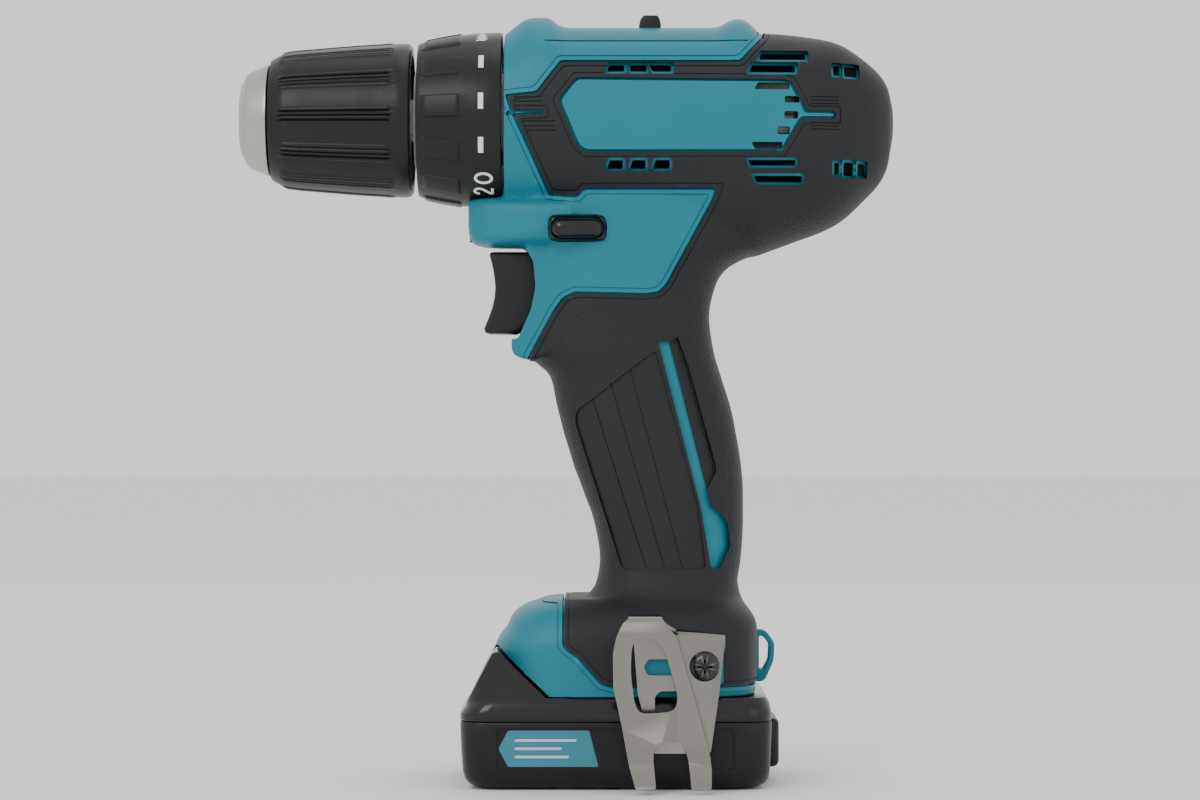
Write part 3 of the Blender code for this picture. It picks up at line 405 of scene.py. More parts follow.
# ---- body clay
def barrel_form(inset=0.0):
    places = [-30.9 + 106.7 * i / 70 for i in range(71)]
    sections = []
    for x in places:
        top = smooth_at(BARREL_TOP, x) - SPINDLE_Z - inset
        bottom = SPINDLE_Z - smooth_at(BARREL_BOTTOM, x) - inset
        half = smooth_at(BARREL_HALF, x) - inset
        sections.append([(x, a, SPINDLE_Z + b) for a, b in oval(88, half, top, bottom, 2.45)])
    return tower("barrel_form", sections)


def standing_form(name, low, high, count, front, rear, half, power):
    sections = []
    for i in range(count + 1):
        z = low + (high - low) * i / count
        f, r, w = smooth_at(front, z), smooth_at(rear, z), smooth_at(half, z)
        sections.append([((f + r) / 2 + a, b, z) for a, b in oval(80, (r - f) / 2, w, w, power)])
    return tower(name, sections)


def nose_form():
    sections = []
    for x, bottom, half in ((-40.8, 150.6, 8.5), (-40.5, 148.2, 10.6), (-39.4, 146.5, 12.2),
                            (-36.4, 145.6, 14.2),
                            (-31.0, 145.4, 16.4), (-24.0, 145.4, 18.4), (-12.0, 145.4, 19.4)):
        middle = (160.0 + bottom) / 2
        reach = (160.0 - bottom) / 2
        sections.append([(x, a, middle + b) for a, b in oval(48, half, reach, reach, 4.2)])
    return tower("nose_form", sections)


def guard_form():
    outline = eased(((-22.0, 145.6), (-24.4, 145.6), (-25.6, 143.0), (-24.9, 136.0), (-25.6, 129.5),
                     (-28.9, 121.8),
                     (-28.9, 117.0), (-27.4, 115.4), (-23.0, 114.4), (-14.0, 117.6), (-12.0, 145.6)), 1.6)
    guard = slab("guard_form", outline, -14.2, 14.2)
    return bevelled(guard, 2.0, 3, 50)


def pack_wedge(margin):
    outline = ((-70.0, 37.6 + margin), (-32.1 + 0.4 * margin, 37.6 + margin),
               (-18.5 + margin, 24.9 + 0.4 * margin), (-18.5 + margin, 10.0), (-70.0, 10.0))
    return slab("pack_wedge", outline, -50.0, 50.0)


def body_clay():
    clay = barrel_form()
    weld_on(
        clay,
        standing_form("grip_form", 46.0, 160.0, 76, GRIP_FRONT, GRIP_REAR, GRIP_HALF, 2.6),
        standing_form("foot_form", 24.2, 50.3, 24, FOOT_FRONT, FOOT_REAR, FOOT_HALF, 4.2),
        nose_form(),
        guard_form(),
    )
    pick(clay)
    clay.data.remesh_voxel_size = CLAY_GRAIN * MM
    clay.data.remesh_voxel_adaptivity = 0.0
    bpy.ops.object.voxel_remesh()
    applied(clay, "SMOOTH", factor=0.5, iterations=SOFTENING)
    take_away(clay, pack_wedge(0.0), block("floor_cut", -60.0, 60.0, -50.0, 50.0, 0.0, 24.3))
    return clay


def side_region(outline, margin=0.0, reach=70.0, ease=0.8):
    return slab("side_region", eased(grown(outline, margin), ease), -reach, reach)


def outline_line(outline, near, far):
    """A thin band that runs along an outline, between two distances from it."""
    band = side_region(outline, max(near, far), ease=1.0)
    carve(band, side_region(outline, min(near, far), reach=80.0, ease=1.0))
    return band


def ridge_line(top, bottom):
    return slab("ridge_line", ((top[0] - 0.18, top[1]), (top[0] + 0.18, top[1]),
                               (bottom[0] + 0.18, bottom[1]), (bottom[0] - 0.18, bottom[1])), -70.0, 70.0)


def sunk(obj, clay, region, depth):
    """Press a region into the surface to an even depth."""
    below = puffed(twin(clay, "below"), -depth)
    carve(region, below)
    carve(obj, region)


def slot_set(rows, grow, reach=60.0):
    made = []
    for x0, x1, z0, z1, lean in rows:
        outline = eased(grown(((x0, z0), (x1, z0), (x1, z1), (x0 + lean, z1)), grow), 0.5, 2)
        made.append(slab("slot", outline, -reach, reach))
    return joined("slots", made)


# ---- finishes
def links_of(mat):
    return mat.node_tree.nodes, mat.node_tree.links


def node_of(nodes, kind, **sockets):
    """A shader node with its sockets set; an underscore stands for the blank in a socket's name."""
    node = nodes.new("ShaderNode" + kind)
    for name, value in sockets.items():
        node.inputs[name.replace("_", " ")].default_value = value
    return node


def finish(name, colour, roughness, metallic=0.0, grain=(900.0, 0.12), tone=0.12, rough_spread=0.08,
           stretch=(1.0, 1.0, 1.0), wear=0.0, wear_colour=(0.5, 0.5, 0.5), coat=0.0, specular=0.5,
           bump_size=0.05):
    """A finish whose colour, roughness and grain vary over the surface, with paler worn edges."""
    mat = bpy.data.materials.new(name)
    mat.use_nodes = True
    nodes, links = links_of(mat)
    shader = nodes["Principled BSDF"]
    for socket, value in (("Metallic", metallic), ("Coat Weight", coat), ("Coat Roughness", 0.15),
                          ("Specular IOR Level", specular)):
        shader.inputs[socket].default_value = value
    place = node_of(nodes, "TexCoord")
    spread = node_of(nodes, "Mapping", Scale=stretch)
    links.new(place.outputs["Object"], spread.inputs["Vector"])
    cloud = node_of(nodes, "TexNoise", Scale=38.0, Detail=4.0)
    links.new(spread.outputs["Vector"], cloud.inputs["Vector"])
    shade = node_of(nodes, "ValToRGB")
    low, high = shade.color_ramp.elements
    low.position, high.position = 0.3, 0.7
    low.color = (*(c * (1 - tone) for c in colour), 1.0)
    high.color = (*(min(c * (1 + tone), 1.0) for c in colour), 1.0)
    links.new(cloud.outputs["Fac"], shade.inputs["Fac"])
    last = shade.outputs["Color"]
    if wear:
        edge = node_of(nodes, "NewGeometry")
        band = node_of(nodes, "MapRange", From_Min=0.53, From_Max=0.62, To_Max=wear)
        links.new(edge.outputs["Pointiness"], band.inputs["Value"])
        worn = node_of(nodes, "Mix")
        worn.data_type = "RGBA"
        worn.inputs["B"].default_value = (*wear_colour, 1.0)
        links.new(band.outputs["Result"], worn.inputs["Factor"])
        links.new(last, worn.inputs["A"])
        last = worn.outputs["Result"]
    links.new(last, shader.inputs["Base Color"])
    fine = node_of(nodes, "TexNoise", Scale=grain[0], Detail=3.0)
    links.new(spread.outputs["Vector"], fine.inputs["Vector"])
    gloss = node_of(nodes, "MapRange", To_Min=max(roughness - rough_spread, 0.03),
                    To_Max=min(roughness + rough_spread, 1.0))
    links.new(cloud.outputs["Fac"], gloss.inputs["Value"])
    links.new(gloss.outputs["Result"], shader.inputs["Roughness"])
    bump = node_of(nodes, "Bump", Strength=grain[1], Distance=bump_size * MM)
    links.new(fine.outputs["Fac"], bump.inputs["Height"])
    links.new(bump.outputs["Normal"], shader.inputs["Normal"])
    return mat


def times(nodes, links, first, second):
    both = node_of(nodes, "Math")
    both.operation = "MULTIPLY"
    links.new(first, both.inputs[0])
    links.new(second, both.inputs[1])
    return both.outputs[0]


def half_plane(nodes, links, place, dx, dz, start, soft, before):
    """1 on the side of a line that (dx, dz) points to, 0 on the other, times what came before."""
    along = node_of(nodes, "VectorMath")
    along.operation = "DOT_PRODUCT"
    along.inputs[1].default_value = (dx, 0.0, dz)
    links.new(place.outputs["Object"], along.inputs[0])
    ramp = node_of(nodes, "MapRange", From_Min=start - soft, From_Max=start + soft)
    links.new(along.outputs["Value"], ramp.inputs["Value"])
    inside = ramp.outputs["Result"]
    return inside if before is None else times(nodes, links, before, inside)


def stipple(mat):
    """Leather-like pips between the foot and the barrel, none on the smooth inlay."""
    nodes, links = links_of(mat)
    place = next(n for n in nodes if n.type == "TEX_COORD")
    mask = None
    for up, start in ((-1.0, -0.158), (1.0, 0.0535)):
        mask = half_plane(nodes, links, place, 0.0, up, start, 0.003, mask)
    inlay = None
    for (x0, z0), (x1, z1) in (((-10.9, 101.3), (12.0, 118.6)), ((13.0, 119.0), (23.6, 74.0)),
                               ((1.4, 58.2), (-11.6, 99.0))):
        run = math.hypot(x1 - x0, z1 - z0)
        dx, dz = (z1 - z0) / run, -(x1 - x0) / run
        if (6.0 - x0) * dx + (85.0 - z0) * dz < 0:
            dx, dz = -dx, -dz
        inlay = half_plane(nodes, links, place, dx, dz, (x0 * dx + z0 * dz) * MM, 0.0004, inlay)
    outside = node_of(nodes, "Math")
    outside.operation = "SUBTRACT"
    outside.inputs[0].default_value = 1.0
    links.new(inlay, outside.inputs[1])
    where = times(nodes, links, mask, outside.outputs[0])
    pips = node_of(nodes, "TexVoronoi", Scale=1150.0)
    links.new(place.outputs["Object"], pips.inputs["Vector"])
    fine = next(n for n in nodes if n.type == "BUMP")
    bump = node_of(nodes, "Bump", Strength=0.9, Distance=0.22 * MM)
    bump.invert = True
    links.new(times(nodes, links, pips.outputs["Distance"], where), bump.inputs["Height"])
    links.new(fine.outputs["Normal"], bump.inputs["Normal"])
    links.new(bump.outputs["Normal"], nodes["Principled BSDF"].inputs["Normal"])


TEAL = finish("moulded_teal", (0.004, 0.18, 0.24), 0.44, grain=(1400.0, 0.35), tone=0.05, wear=0.25,
              wear_colour=(0.06, 0.33, 0.4), specular=0.3, bump_size=0.03)
RUBBER = finish("grip_rubber", (0.0125, 0.0135, 0.0155), 0.56, grain=(2100.0, 0.35), tone=0.1, wear=0.12,
                wear_colour=(0.06, 0.06, 0.06), specular=0.3, bump_size=0.05)
stipple(RUBBER)
RING_BLACK = finish("ring_plastic", (0.0075, 0.008, 0.0085), 0.34, grain=(1700.0, 0.35), tone=0.08, wear=0.2,
                    wear_colour=(0.06, 0.06, 0.06), specular=0.3)
GLOSS_BLACK = finish("gloss_black", (0.005, 0.0052, 0.0058), 0.17, grain=(600.0, 0.05), tone=0.1, coat=0.15,
                     specular=0.35)
CASE_BLACK = finish("pack_plastic", (0.0065, 0.007, 0.0078), 0.34, grain=(1700.0, 0.3), tone=0.08, wear=0.2,
                    wear_colour=(0.05, 0.05, 0.05), specular=0.28)
TRIGGER_BLACK = finish("trigger_plastic", (0.009, 0.0098, 0.011), 0.4, grain=(1500.0, 0.25), tone=0.08,
                       specular=0.3)
SATIN = finish("satin_nose", (0.47, 0.45, 0.41), 0.34, 1.0, grain=(2200.0, 0.2), tone=0.05,
               stretch=(6.0, 1.0, 1.0), wear=0.3, wear_colour=(0.8, 0.78, 0.74))
NICKEL = finish("nickel_sheet", (0.23, 0.22, 0.2), 0.2, 1.0, grain=(500.0, 0.12), tone=0.06,
                rough_spread=0.06,
                wear=0.4, wear_colour=(0.6, 0.58, 0.54))
STEEL = finish("oiled_steel", (0.3, 0.29, 0.28), 0.34, 1.0, grain=(1200.0, 0.25), tone=0.12)
SCREW_BLACK = finish("black_oxide", (0.05, 0.05, 0.052), 0.28, 1.0, grain=(900.0, 0.15), tone=0.15, wear=0.4,
                     wear_colour=(0.3, 0.3, 0.3))
INSIDE = finish("inner_plastic", (0.02, 0.02, 0.021), 0.6, tone=0.1)
LENS = finish("lamp_lens", (0.85, 0.88, 0.86), 0.1, grain=(300.0, 0.05), tone=0.03, coat=0.5)
CELL_FILM = finish("cell_film", (0.04, 0.25, 0.13), 0.32, tone=0.08)
MARK_WHITE = finish("mark_white", (0.8, 0.81, 0.8), 0.5, grain=(1500.0, 0.3), tone=0.03)
LABEL_TEAL = finish("label_teal", (0.02, 0.2, 0.27), 0.3, grain=(700.0, 0.06), tone=0.05)
LABEL_GREY = finish("label_grey", (0.55, 0.58, 0.6), 0.35, grain=(700.0, 0.06), tone=0.04)


def dress(obj, mat, slot, body, *nodes, angle=35.0):
    """Give a finished piece its material and body, and hide the CAD nodes it stands for."""
    obj.data.materials.clear()
    obj.data.materials.append(mat)
    for face in obj.data.polygons:
        face.material_index = 0
    soft_shade(obj, angle)
    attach(obj, body)
    if nodes:
        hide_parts(*nodes)
    return obj


# ---- housing and covers
def split_halves(obj, left_name, right_name, seam=0.12):
    right = twin(obj, right_name)
    carve(obj, block("half", -120.0, 120.0, -seam / 2, 90.0, -20.0, 240.0))
    carve(right, block("half", -120.0, 120.0, -90.0, seam / 2, -20.0, 240.0))
    obj.name = left_name
    return obj, right


def make_body():
    clay = body_clay()
    soft = twin(clay, "soft_cover")
    teal = puffed(twin(clay, "teal_shell"), -TEAL_SINK)
    core = puffed(twin(clay, "core"), -COVER_THICKNESS)
    hollow = puffed(twin(clay, "hollow"), -SHELL_THICKNESS)

    # the teal shell: hollow, with a groove along the cover's edge and the raised side panel
    panel = twin(clay, "panel")
    carve(panel, side_region(PANEL, -0.45, ease=1.2), "INTERSECT")
    inside = twin(core, "panel_inside")
    carve(panel, inside)
    recess = side_region(COVER_OUTLINE, 0.5)
    carve(recess, core, "DIFFERENCE", keep_other=True)
    carve(teal, recess)
    carve(teal, hollow)
    weld_on(teal, panel)

    # the soft cover lies in that recess
    carve(soft, side_region(COVER_OUTLINE, -0.1), "INTERSECT")
    carve(soft, core)
    carve(soft, side_region(PANEL, 0.25, ease=1.2))
    carve(soft, side_region(STRIPE, 0.3, ease=0.6))

    sunk(soft, clay, side_region(INLAY, 0.0, ease=1.5), 0.5)
    sunk(soft, clay, joined("ridges", [ridge_line(*ends) for ends in RIDGES]), 0.8)
    sunk(soft, clay, side_region(REAR_POCKET, 0.0, ease=0.6), 1.1)
    sunk(soft, clay, outline_line(COVER_OUTLINE, -1.35, -1.0), 0.28)
    sunk(soft, clay, outline_line(PANEL, 1.3, 1.65), 0.28)
    sunk(teal, clay, outline_line(COVER_OUTLINE, 1.5, 1.85), 0.62)
    sunk(teal, clay, block("crease", -19.4, 35.4, -40.0, 40.0, 200.8, 201.15), 0.75)
    carve(soft, slot_set(SLOTS, 0.55))
    carve(teal, slot_set(SLOTS, -0.15))
    carve(teal, slot_set(PANEL_SLOTS, 0.0))
    carve(soft, fine_grooves(clay))

    ring_room = rod("ring_room", -70.0, -30.9, 24.75, 96)
    case_room = rod("case_room", -45.0, 3.0, 21.6, 96)
    take_away(teal, ring_room, case_room)
    bpy.data.objects.remove(clay)
    weld_on(teal, strap_eye(), *[clip_seat(side, 0.0) for side in (-1, 1)])
    take_away(soft, block("loop_room", 33.0, 50.0, -3.3, 3.3, 26.0, 41.4),
              *[clip_seat(side, 0.3) for side in (-1, 1)])
    take_away(
        teal,
        block("lamp_room", -60.0, -35.4, -3.9, 3.9, 147.6, 154.6, 3.6, 6),
        block("rail_neck_room", -60.0, 21.0, -13.0, 13.0, 20.0, 27.0),
        block("rail_head_room", -60.0, 21.0, -16.4, 16.4, 26.5, 30.9),
        block("latch_tooth_room", -30.4, -25.4, -5.6, 5.6, 30.0, 37.6),
    )
    for shell in (teal, soft):
        take_away(
            shell,
            slab("trigger_room", eased(((-60.0, 120.6), (-26.8, 120.6), (-23.2, 128.6), (-22.0, 134.8),
                                        (-22.6, 141.6), (-24.6, 145.2), (-60.0, 145.2)), 1.0), -20.0, 20.0),
            slab("trigger_depth", ((-40.0, 121.4), (-11.5, 121.4), (-11.5, 145.0), (-40.0, 145.0)), -9.5,
                 9.5),
            block("lever_room", -18.6, -2.6, -50.0, 50.0, 146.7, 154.1, 3.3, 6),
            block("selector_room", 3.6, 20.4, -6.0, 6.0, 198.0, 220.0),
        )
        for x, z in CASE_SCREWS:
            carve(shell, rod("screw_room", 12.0, 40.0, 3.3, 32, at(x, z), "Y"))
    return teal, soft


def strap_eye():
    loop = slab("strap_eye", eased(((34.0, 41.0), (40.8, 41.0), (43.4, 37.6), (43.2, 32.6), (40.6, 26.8),
                                    (34.0, 26.8)), 1.4), -3.0, 3.0)
    carve(loop, slab("eye", eased(((39.1, 39.4), (40.2, 39.2), (41.8, 37.0), (41.6, 33.0), (40.2, 30.2),
                                   (39.1, 30.2)), 0.6), -6.0, 6.0))
    return bevelled(loop, 0.5, 2, 50)


def clip_seat(side, room):
    """A flat pad that the belt clip's plate is screwed down on."""
    y0, y1 = to_side(side, 26.4, 32.2 + room * 5)
    pad = slab("clip_seat", eased(grown(((6.0, 28.4), (28.4, 28.4), (28.4, 38.6), (6.0, 38.6)), room), 1.0),
               y0, y1)
    rim = slab("seat_rim",
               eased(grown(((6.0, 37.6), (29.0, 37.6), (29.0, 40.4), (6.0, 40.4)), room * 0.5), 0.5),
               *to_side(side, 26.4, 30.35 + room * 12))
    weld_on(pad, rim)
    if room:
        return pad
    return carve(pad, rod("seat_hole", 20.0, 40.0, 2.2, 32, at(*CLIP_SCREW), "Y"))


def fine_grooves(clay):
    """The short finger lines pressed into the cover, front and rear."""
    made = []
    for z in (182.9, 184.1, 185.3):
        made.append(block("groove", -27.5, -20.0, -40.0, 40.0, z - 0.17, z + 0.17))
    for x0, x1, z in ((-25.2, -16.5, 178.8), (-24.6, -16.5, 177.5), (-24.0, -16.5, 176.3)):
        made.append(block("groove", x0, x1, -40.0, 40.0, z - 0.17, z + 0.17))
    for z in (182.6, 183.5, 184.4, 185.3, 178.4, 177.5, 176.6):
        made.append(block("groove", 52.0, 59.6, -40.0, 40.0, z - 0.15, z + 0.15))
    lines = joined("grooves", made)
    skin = puffed(twin(clay, "skin"), -0.4)
    carve(lines, skin)
    return lines


teal_shell, soft_cover = make_body()
housing_left, housing_right = split_halves(teal_shell, "teal_housing_left", "teal_housing_right")
cover_left, cover_right = split_halves(soft_cover, "soft_cover_left", "soft_cover_right", 0.06)
dress(housing_left, TEAL, "teal_plastic", "tool", "housing_left")
dress(housing_right, TEAL, "teal_plastic", "tool", "housing_right")
dress(cover_left, RUBBER, "black_rubber", "tool", "grip_cover_left")
dress(cover_right, RUBBER, "black_rubber", "tool", "grip_cover_right")


# ---- chuck
def sweep_by_angle(obj, change):
    """Move each vertex in or out from the spindle's line by change(x, angle, radius)."""
    work = edit(obj)
    for v in work.verts:
        x = v.co.x / MM
        y, z = v.co.y / MM, v.co.z / MM - SPINDLE_Z
        radius = math.hypot(y, z)
        if radius < 1.0:
            continue
        factor = (radius + change(x, math.degrees(math.atan2(z, -y)), radius)) / radius
        v.co.y = y * factor * MM
        v.co.z = (z * factor + SPINDLE_Z) * MM
    bmesh.update_edit_mesh(obj.data)
    done()
    return obj


def step_between(value, low, high, soft):
    """0 outside low..high, 1 inside, with soft shoulders."""
    rise = min(max((value - low) / soft, 0.0), 1.0)
    fall = min(max((high - value) / soft, 0.0), 1.0)
    both = min(rise, fall)
    return both * both * (3 - 2 * both)


def from_middle(angle, first, step=30.0):
    """How far an angle is from the nearest of the marks that repeat every step degrees."""
    return (angle - first + step / 2) % step - step / 2


def rib_height(x, angle, radius):
    if radius < 16.0 or not -92.6 < x < -60.0:
        return 0.0
    away = from_middle(angle, 0.0)
    length = step_between(x, -92.3, -60.4, 1.4)
    pad = step_between(away, -7.2, 7.2, 0.8)
    groove = sum(step_between(away, at - 0.9, at + 0.9, 0.7) for at in (-3.6, 0.0, 3.6))
    return length * (0.32 * pad - 0.5 * groove)


def along(points, spacing):
    """Points put in between so that no two are further apart than spacing."""
    result = [points[0]]
    for (x0, r0), (x1, r1) in zip(points, points[1:]):
        count = max(1, math.ceil(math.hypot(x1 - x0, r1 - r0) / spacing))
        result += [(x0 + (x1 - x0) * i / count, r0 + (r1 - r0) * i / count) for i in range(1, count + 1)]
    return result


def make_chuck():
    wall = along(((-94.7, 15.6), (-94.6, 16.4), (-93.6, 17.05), (-92.5, 17.6), (-91.4, 18.1), (-90.3, 18.5),
                  (-87.0, 18.95), (-81.5, 19.4), (-76.0, 19.85), (-70.5, 20.3), (-65.0, 20.6),
                  (-60.2, 21.0)), 0.9)
    inner = [(-59.4, 21.1), (-57.2, 21.1), (-56.4, 20.8), (-55.9, 20.1), (-55.9, 17.9), (-85.0, 17.5),
             (-86.2, 12.2),
             (-94.4, 12.2), (-94.7, 12.4)]
    sleeve = spun("chuck_sleeve_skin", wall + inner, 480)
    sweep_by_angle(sleeve, rib_height)
    dress(sleeve, RING_BLACK, "black_plastic", "sleeve_set", "chuck_sleeve", angle=28)

    nose = spun("chuck_nose", (
        (-103.0, 5.6), (-103.2, 6.0), (-103.1, 8.4), (-102.8, 9.6), (-102.3, 10.5), (-101.6, 11.8),
        (-101.3, 12.4),
        (-100.9, 12.9), (-100.2, 13.3), (-99.1, 13.8), (-98.0, 14.25), (-96.9, 14.7), (-95.8, 15.15),
        (-95.3, 15.3),
        (-95.1, 15.1), (-95.1, 11.5), (-57.8, 11.5), (-57.6, 11.3), (-57.6, 5.4), (-70.0, 5.3), (-70.0, 2.7),
        (-72.0, 2.7), (-72.0, 5.4), (-102.2, 5.4),
    ), 128)
    for index in range(3):
        jaw_room = tilted_pin("jaw_room", index, -112.0, -60.8, 3.25, 40)
        carve(nose, jaw_room)
        jaw = tilted_pin("jaw", index, -88.0, -65.0, 2.9, 36)
        carve(jaw, jaw_face_cut(index))
        bevelled(jaw, 0.25, 2)
        jaw.name = "gripping_jaw_%d" % (index + 1)
        dress(jaw, STEEL, "dark_steel", "jaw_%d" % (index + 1), "chuck_jaw_%d" % (index + 1))
    bevelled(nose, 0.2, 2, 50)
    dress(nose, SATIN, "satin_steel", "spindle_set", "chuck_body")
    back = spun("chuck_back", (
        (-59.8, 11.8), (-59.8, 17.3), (-57.3, 17.3), (-57.0, 17.0), (-57.0, 15.6), (-57.4, 15.3),
        (-57.4, 12.2),
        (-57.0, 11.8),
    ), 128)
    dress(back, SATIN, "satin_steel", "spindle_set", "chuck_back_ring")


JAW_LEAN = math.radians(15.0)
JAW_FACE_R = 5.0


def jaw_line(index):
    """The direction from the spindle's line to the jaw, and how far the jaw's axis is from its face."""
    turn = math.tau * index / 3
    out = Vector((0.0, math.sin(turn), math.cos(turn)))
    reach = 2.9 / math.cos(JAW_LEAN)
    return out, reach


def tilted_pin(name, index, x0, x1, radius, steps):
    out, reach = jaw_line(index)
    start_out = JAW_FACE_R + reach + (x0 + 88.0) * math.tan(JAW_LEAN)
    end_out = JAW_FACE_R + reach + (x1 + 88.0) * math.tan(JAW_LEAN)
    start = Vector((x0, 0, SPINDLE_Z)) + out * start_out
    end = Vector((x1, 0, SPINDLE_Z)) + out * end_out
    nothing_selected()
    bpy.ops.mesh.primitive_cylinder_add(vertices=steps, radius=radius * MM, depth=(end - start).length * MM,
                                        location=(start + end) / 2 * MM)
    pin = named(name)
    pin.rotation_euler = (end - start).to_track_quat("Z", "Y").to_euler()
    return set_in_mesh(pin)


def jaw_face_cut(index):
    """The wedge that leaves the jaw its two flat gripping faces."""
    out, _ = jaw_line(index)
    side = Vector((0.0, out.z, -out.y))
    sections = []
    for x in (-92.0, -60.0):
        ring = []
        for across, up in ((-9.0, JAW_FACE_R - 4.4), (0.0, JAW_FACE_R), (9.0, JAW_FACE_R - 4.4),
                           (9.0, -8.0), (-9.0, -8.0)):
            p = Vector((x, 0, SPINDLE_Z)) + out * up + side * across
            ring.append(tuple(p))
        sections.append(ring)
    return tower("jaw_face_cut", sections)


# ---- torque ring
PAD_FIRST = 6.0


def pad_height(x, angle, radius):
    if radius < 20.4 or not -53.0 < x < -42.0:
        return 0.0
    away = from_middle(angle, PAD_FIRST)
    return 0.55 * step_between(away, -8.0, 8.0, 1.2) * step_between(x, -52.8, -42.2, 0.7)


def on_ring(angle, x, lift):
    """Place on the torque ring's rear band, seen from the drill's left."""
    radius = smooth_at(((-43.0, 23.35), (-40.3, 23.65), (-37.5, 23.95), (-32.0, 24.1)), x) + lift
    a = math.radians(angle)
    return Vector((x, -radius * math.cos(a), SPINDLE_Z + radius * math.sin(a)))


def mark_patch(name, angle, x, across, length, lift=0.02, high=0.12):
    """A thin printed bar that follows the ring: across in degrees round it, length along it."""
    sections = []
    for i in range(7):
        a = angle - across / 2 + across * i / 6
        x0, x1 = x - length / 2, x + length / 2
        sections.append([tuple(on_ring(a, x0, -0.1)), tuple(on_ring(a, x1, -0.1)),
                         tuple(on_ring(a, x1, lift + high)), tuple(on_ring(a, x0, lift + high))])
    return tower(name, sections)


def stroke(path, width, high=0.12):
    """A printed line of even width through (angle, x) places on the ring."""
    per_degree = math.radians(1.0) * 23.9
    sections = []
    for i, (angle, x) in enumerate(path):
        a0, x0 = path[max(i - 1, 0)]
        a1, x1 = path[min(i + 1, len(path) - 1)]
        if path[0] == path[-1] and i in (0, len(path) - 1):
            a0, x0 = path[-2]
            a1, x1 = path[1]
        along_ring, along_x = (a1 - a0) * per_degree, x1 - x0
        run = math.hypot(along_ring, along_x)
        da, dx = -along_x / run * width / 2 / per_degree, along_ring / run * width / 2
        if i == len(path) - 1 and path[0] == path[-1]:
            angle -= 0.02
        sections.append([tuple(on_ring(angle - da, x - dx, -0.1)), tuple(on_ring(angle + da, x + dx, -0.1)),
                         tuple(on_ring(angle + da, x + dx, high)), tuple(on_ring(angle - da, x - dx, high))])
    return tower("stroke", sections)


def ring_figures():
    """The printed settings: bars, a twist bit, and the figure for the tightest one."""
    made = []
    for angle in (37.3, 8.6, -20.0):
        made.append(mark_patch("mark", angle, -36.6, 10.5, 1.4))
    # the twist bit lies round the ring
    for part in range(7):
        shift = 0.25 if part % 2 else -0.25
        made.append(mark_patch("mark", 60.6 + 1.9 * part, -36.6 + shift, 1.1, 2.6 - 0.12 * part))
    made.append(mark_patch("mark", 76.0, -36.6, 3.0, 0.9))
    # the two figures are read round the ring, their feet toward the housing
    turns = [math.tau * i / 22 for i in range(23)]
    zero = [(-44.6 + 4.0 * math.cos(turn), -36.0 - 2.2 * math.sin(turn)) for turn in turns]
    two = [(-59.6, -37.2), (-59.2, -38.0), (-57.8, -38.5), (-55.8, -38.4), (-54.4, -37.8), (-54.2, -37.0),
           (-55.2, -36.1), (-57.6, -34.9), (-59.6, -33.9), (-59.7, -33.7), (-53.8, -33.7)]
    made += [stroke(zero, 0.75), stroke(two, 0.75)]
    return joined("ring_marks", made)


def make_torque_ring():
    wall = along(((-54.3, 20.3), (-54.2, 20.8), (-53.6, 21.2), (-51.3, 21.75), (-48.5, 22.35), (-45.8, 22.85),
                  (-43.0, 23.3), (-42.4, 23.45)), 0.6)
    rear = [(-40.3, 23.65), (-38.9, 23.8), (-37.5, 23.95), (-35.0, 24.05), (-32.0, 24.15), (-31.4, 24.0),
            (-31.2, 23.7), (-31.2, 20.3), (-52.4, 20.3), (-52.4, 13.6), (-54.1, 13.6), (-54.3, 13.9)]
    ring = spun("torque_ring_skin", wall + rear, 360)
    sweep_by_angle(ring, pad_height)
    dress(ring, RING_BLACK, "black_plastic", "torque_ring", "torque_ring", angle=28)
    marks = ring_figures()
    dress(marks, MARK_WHITE, "black_plastic", "torque_ring")


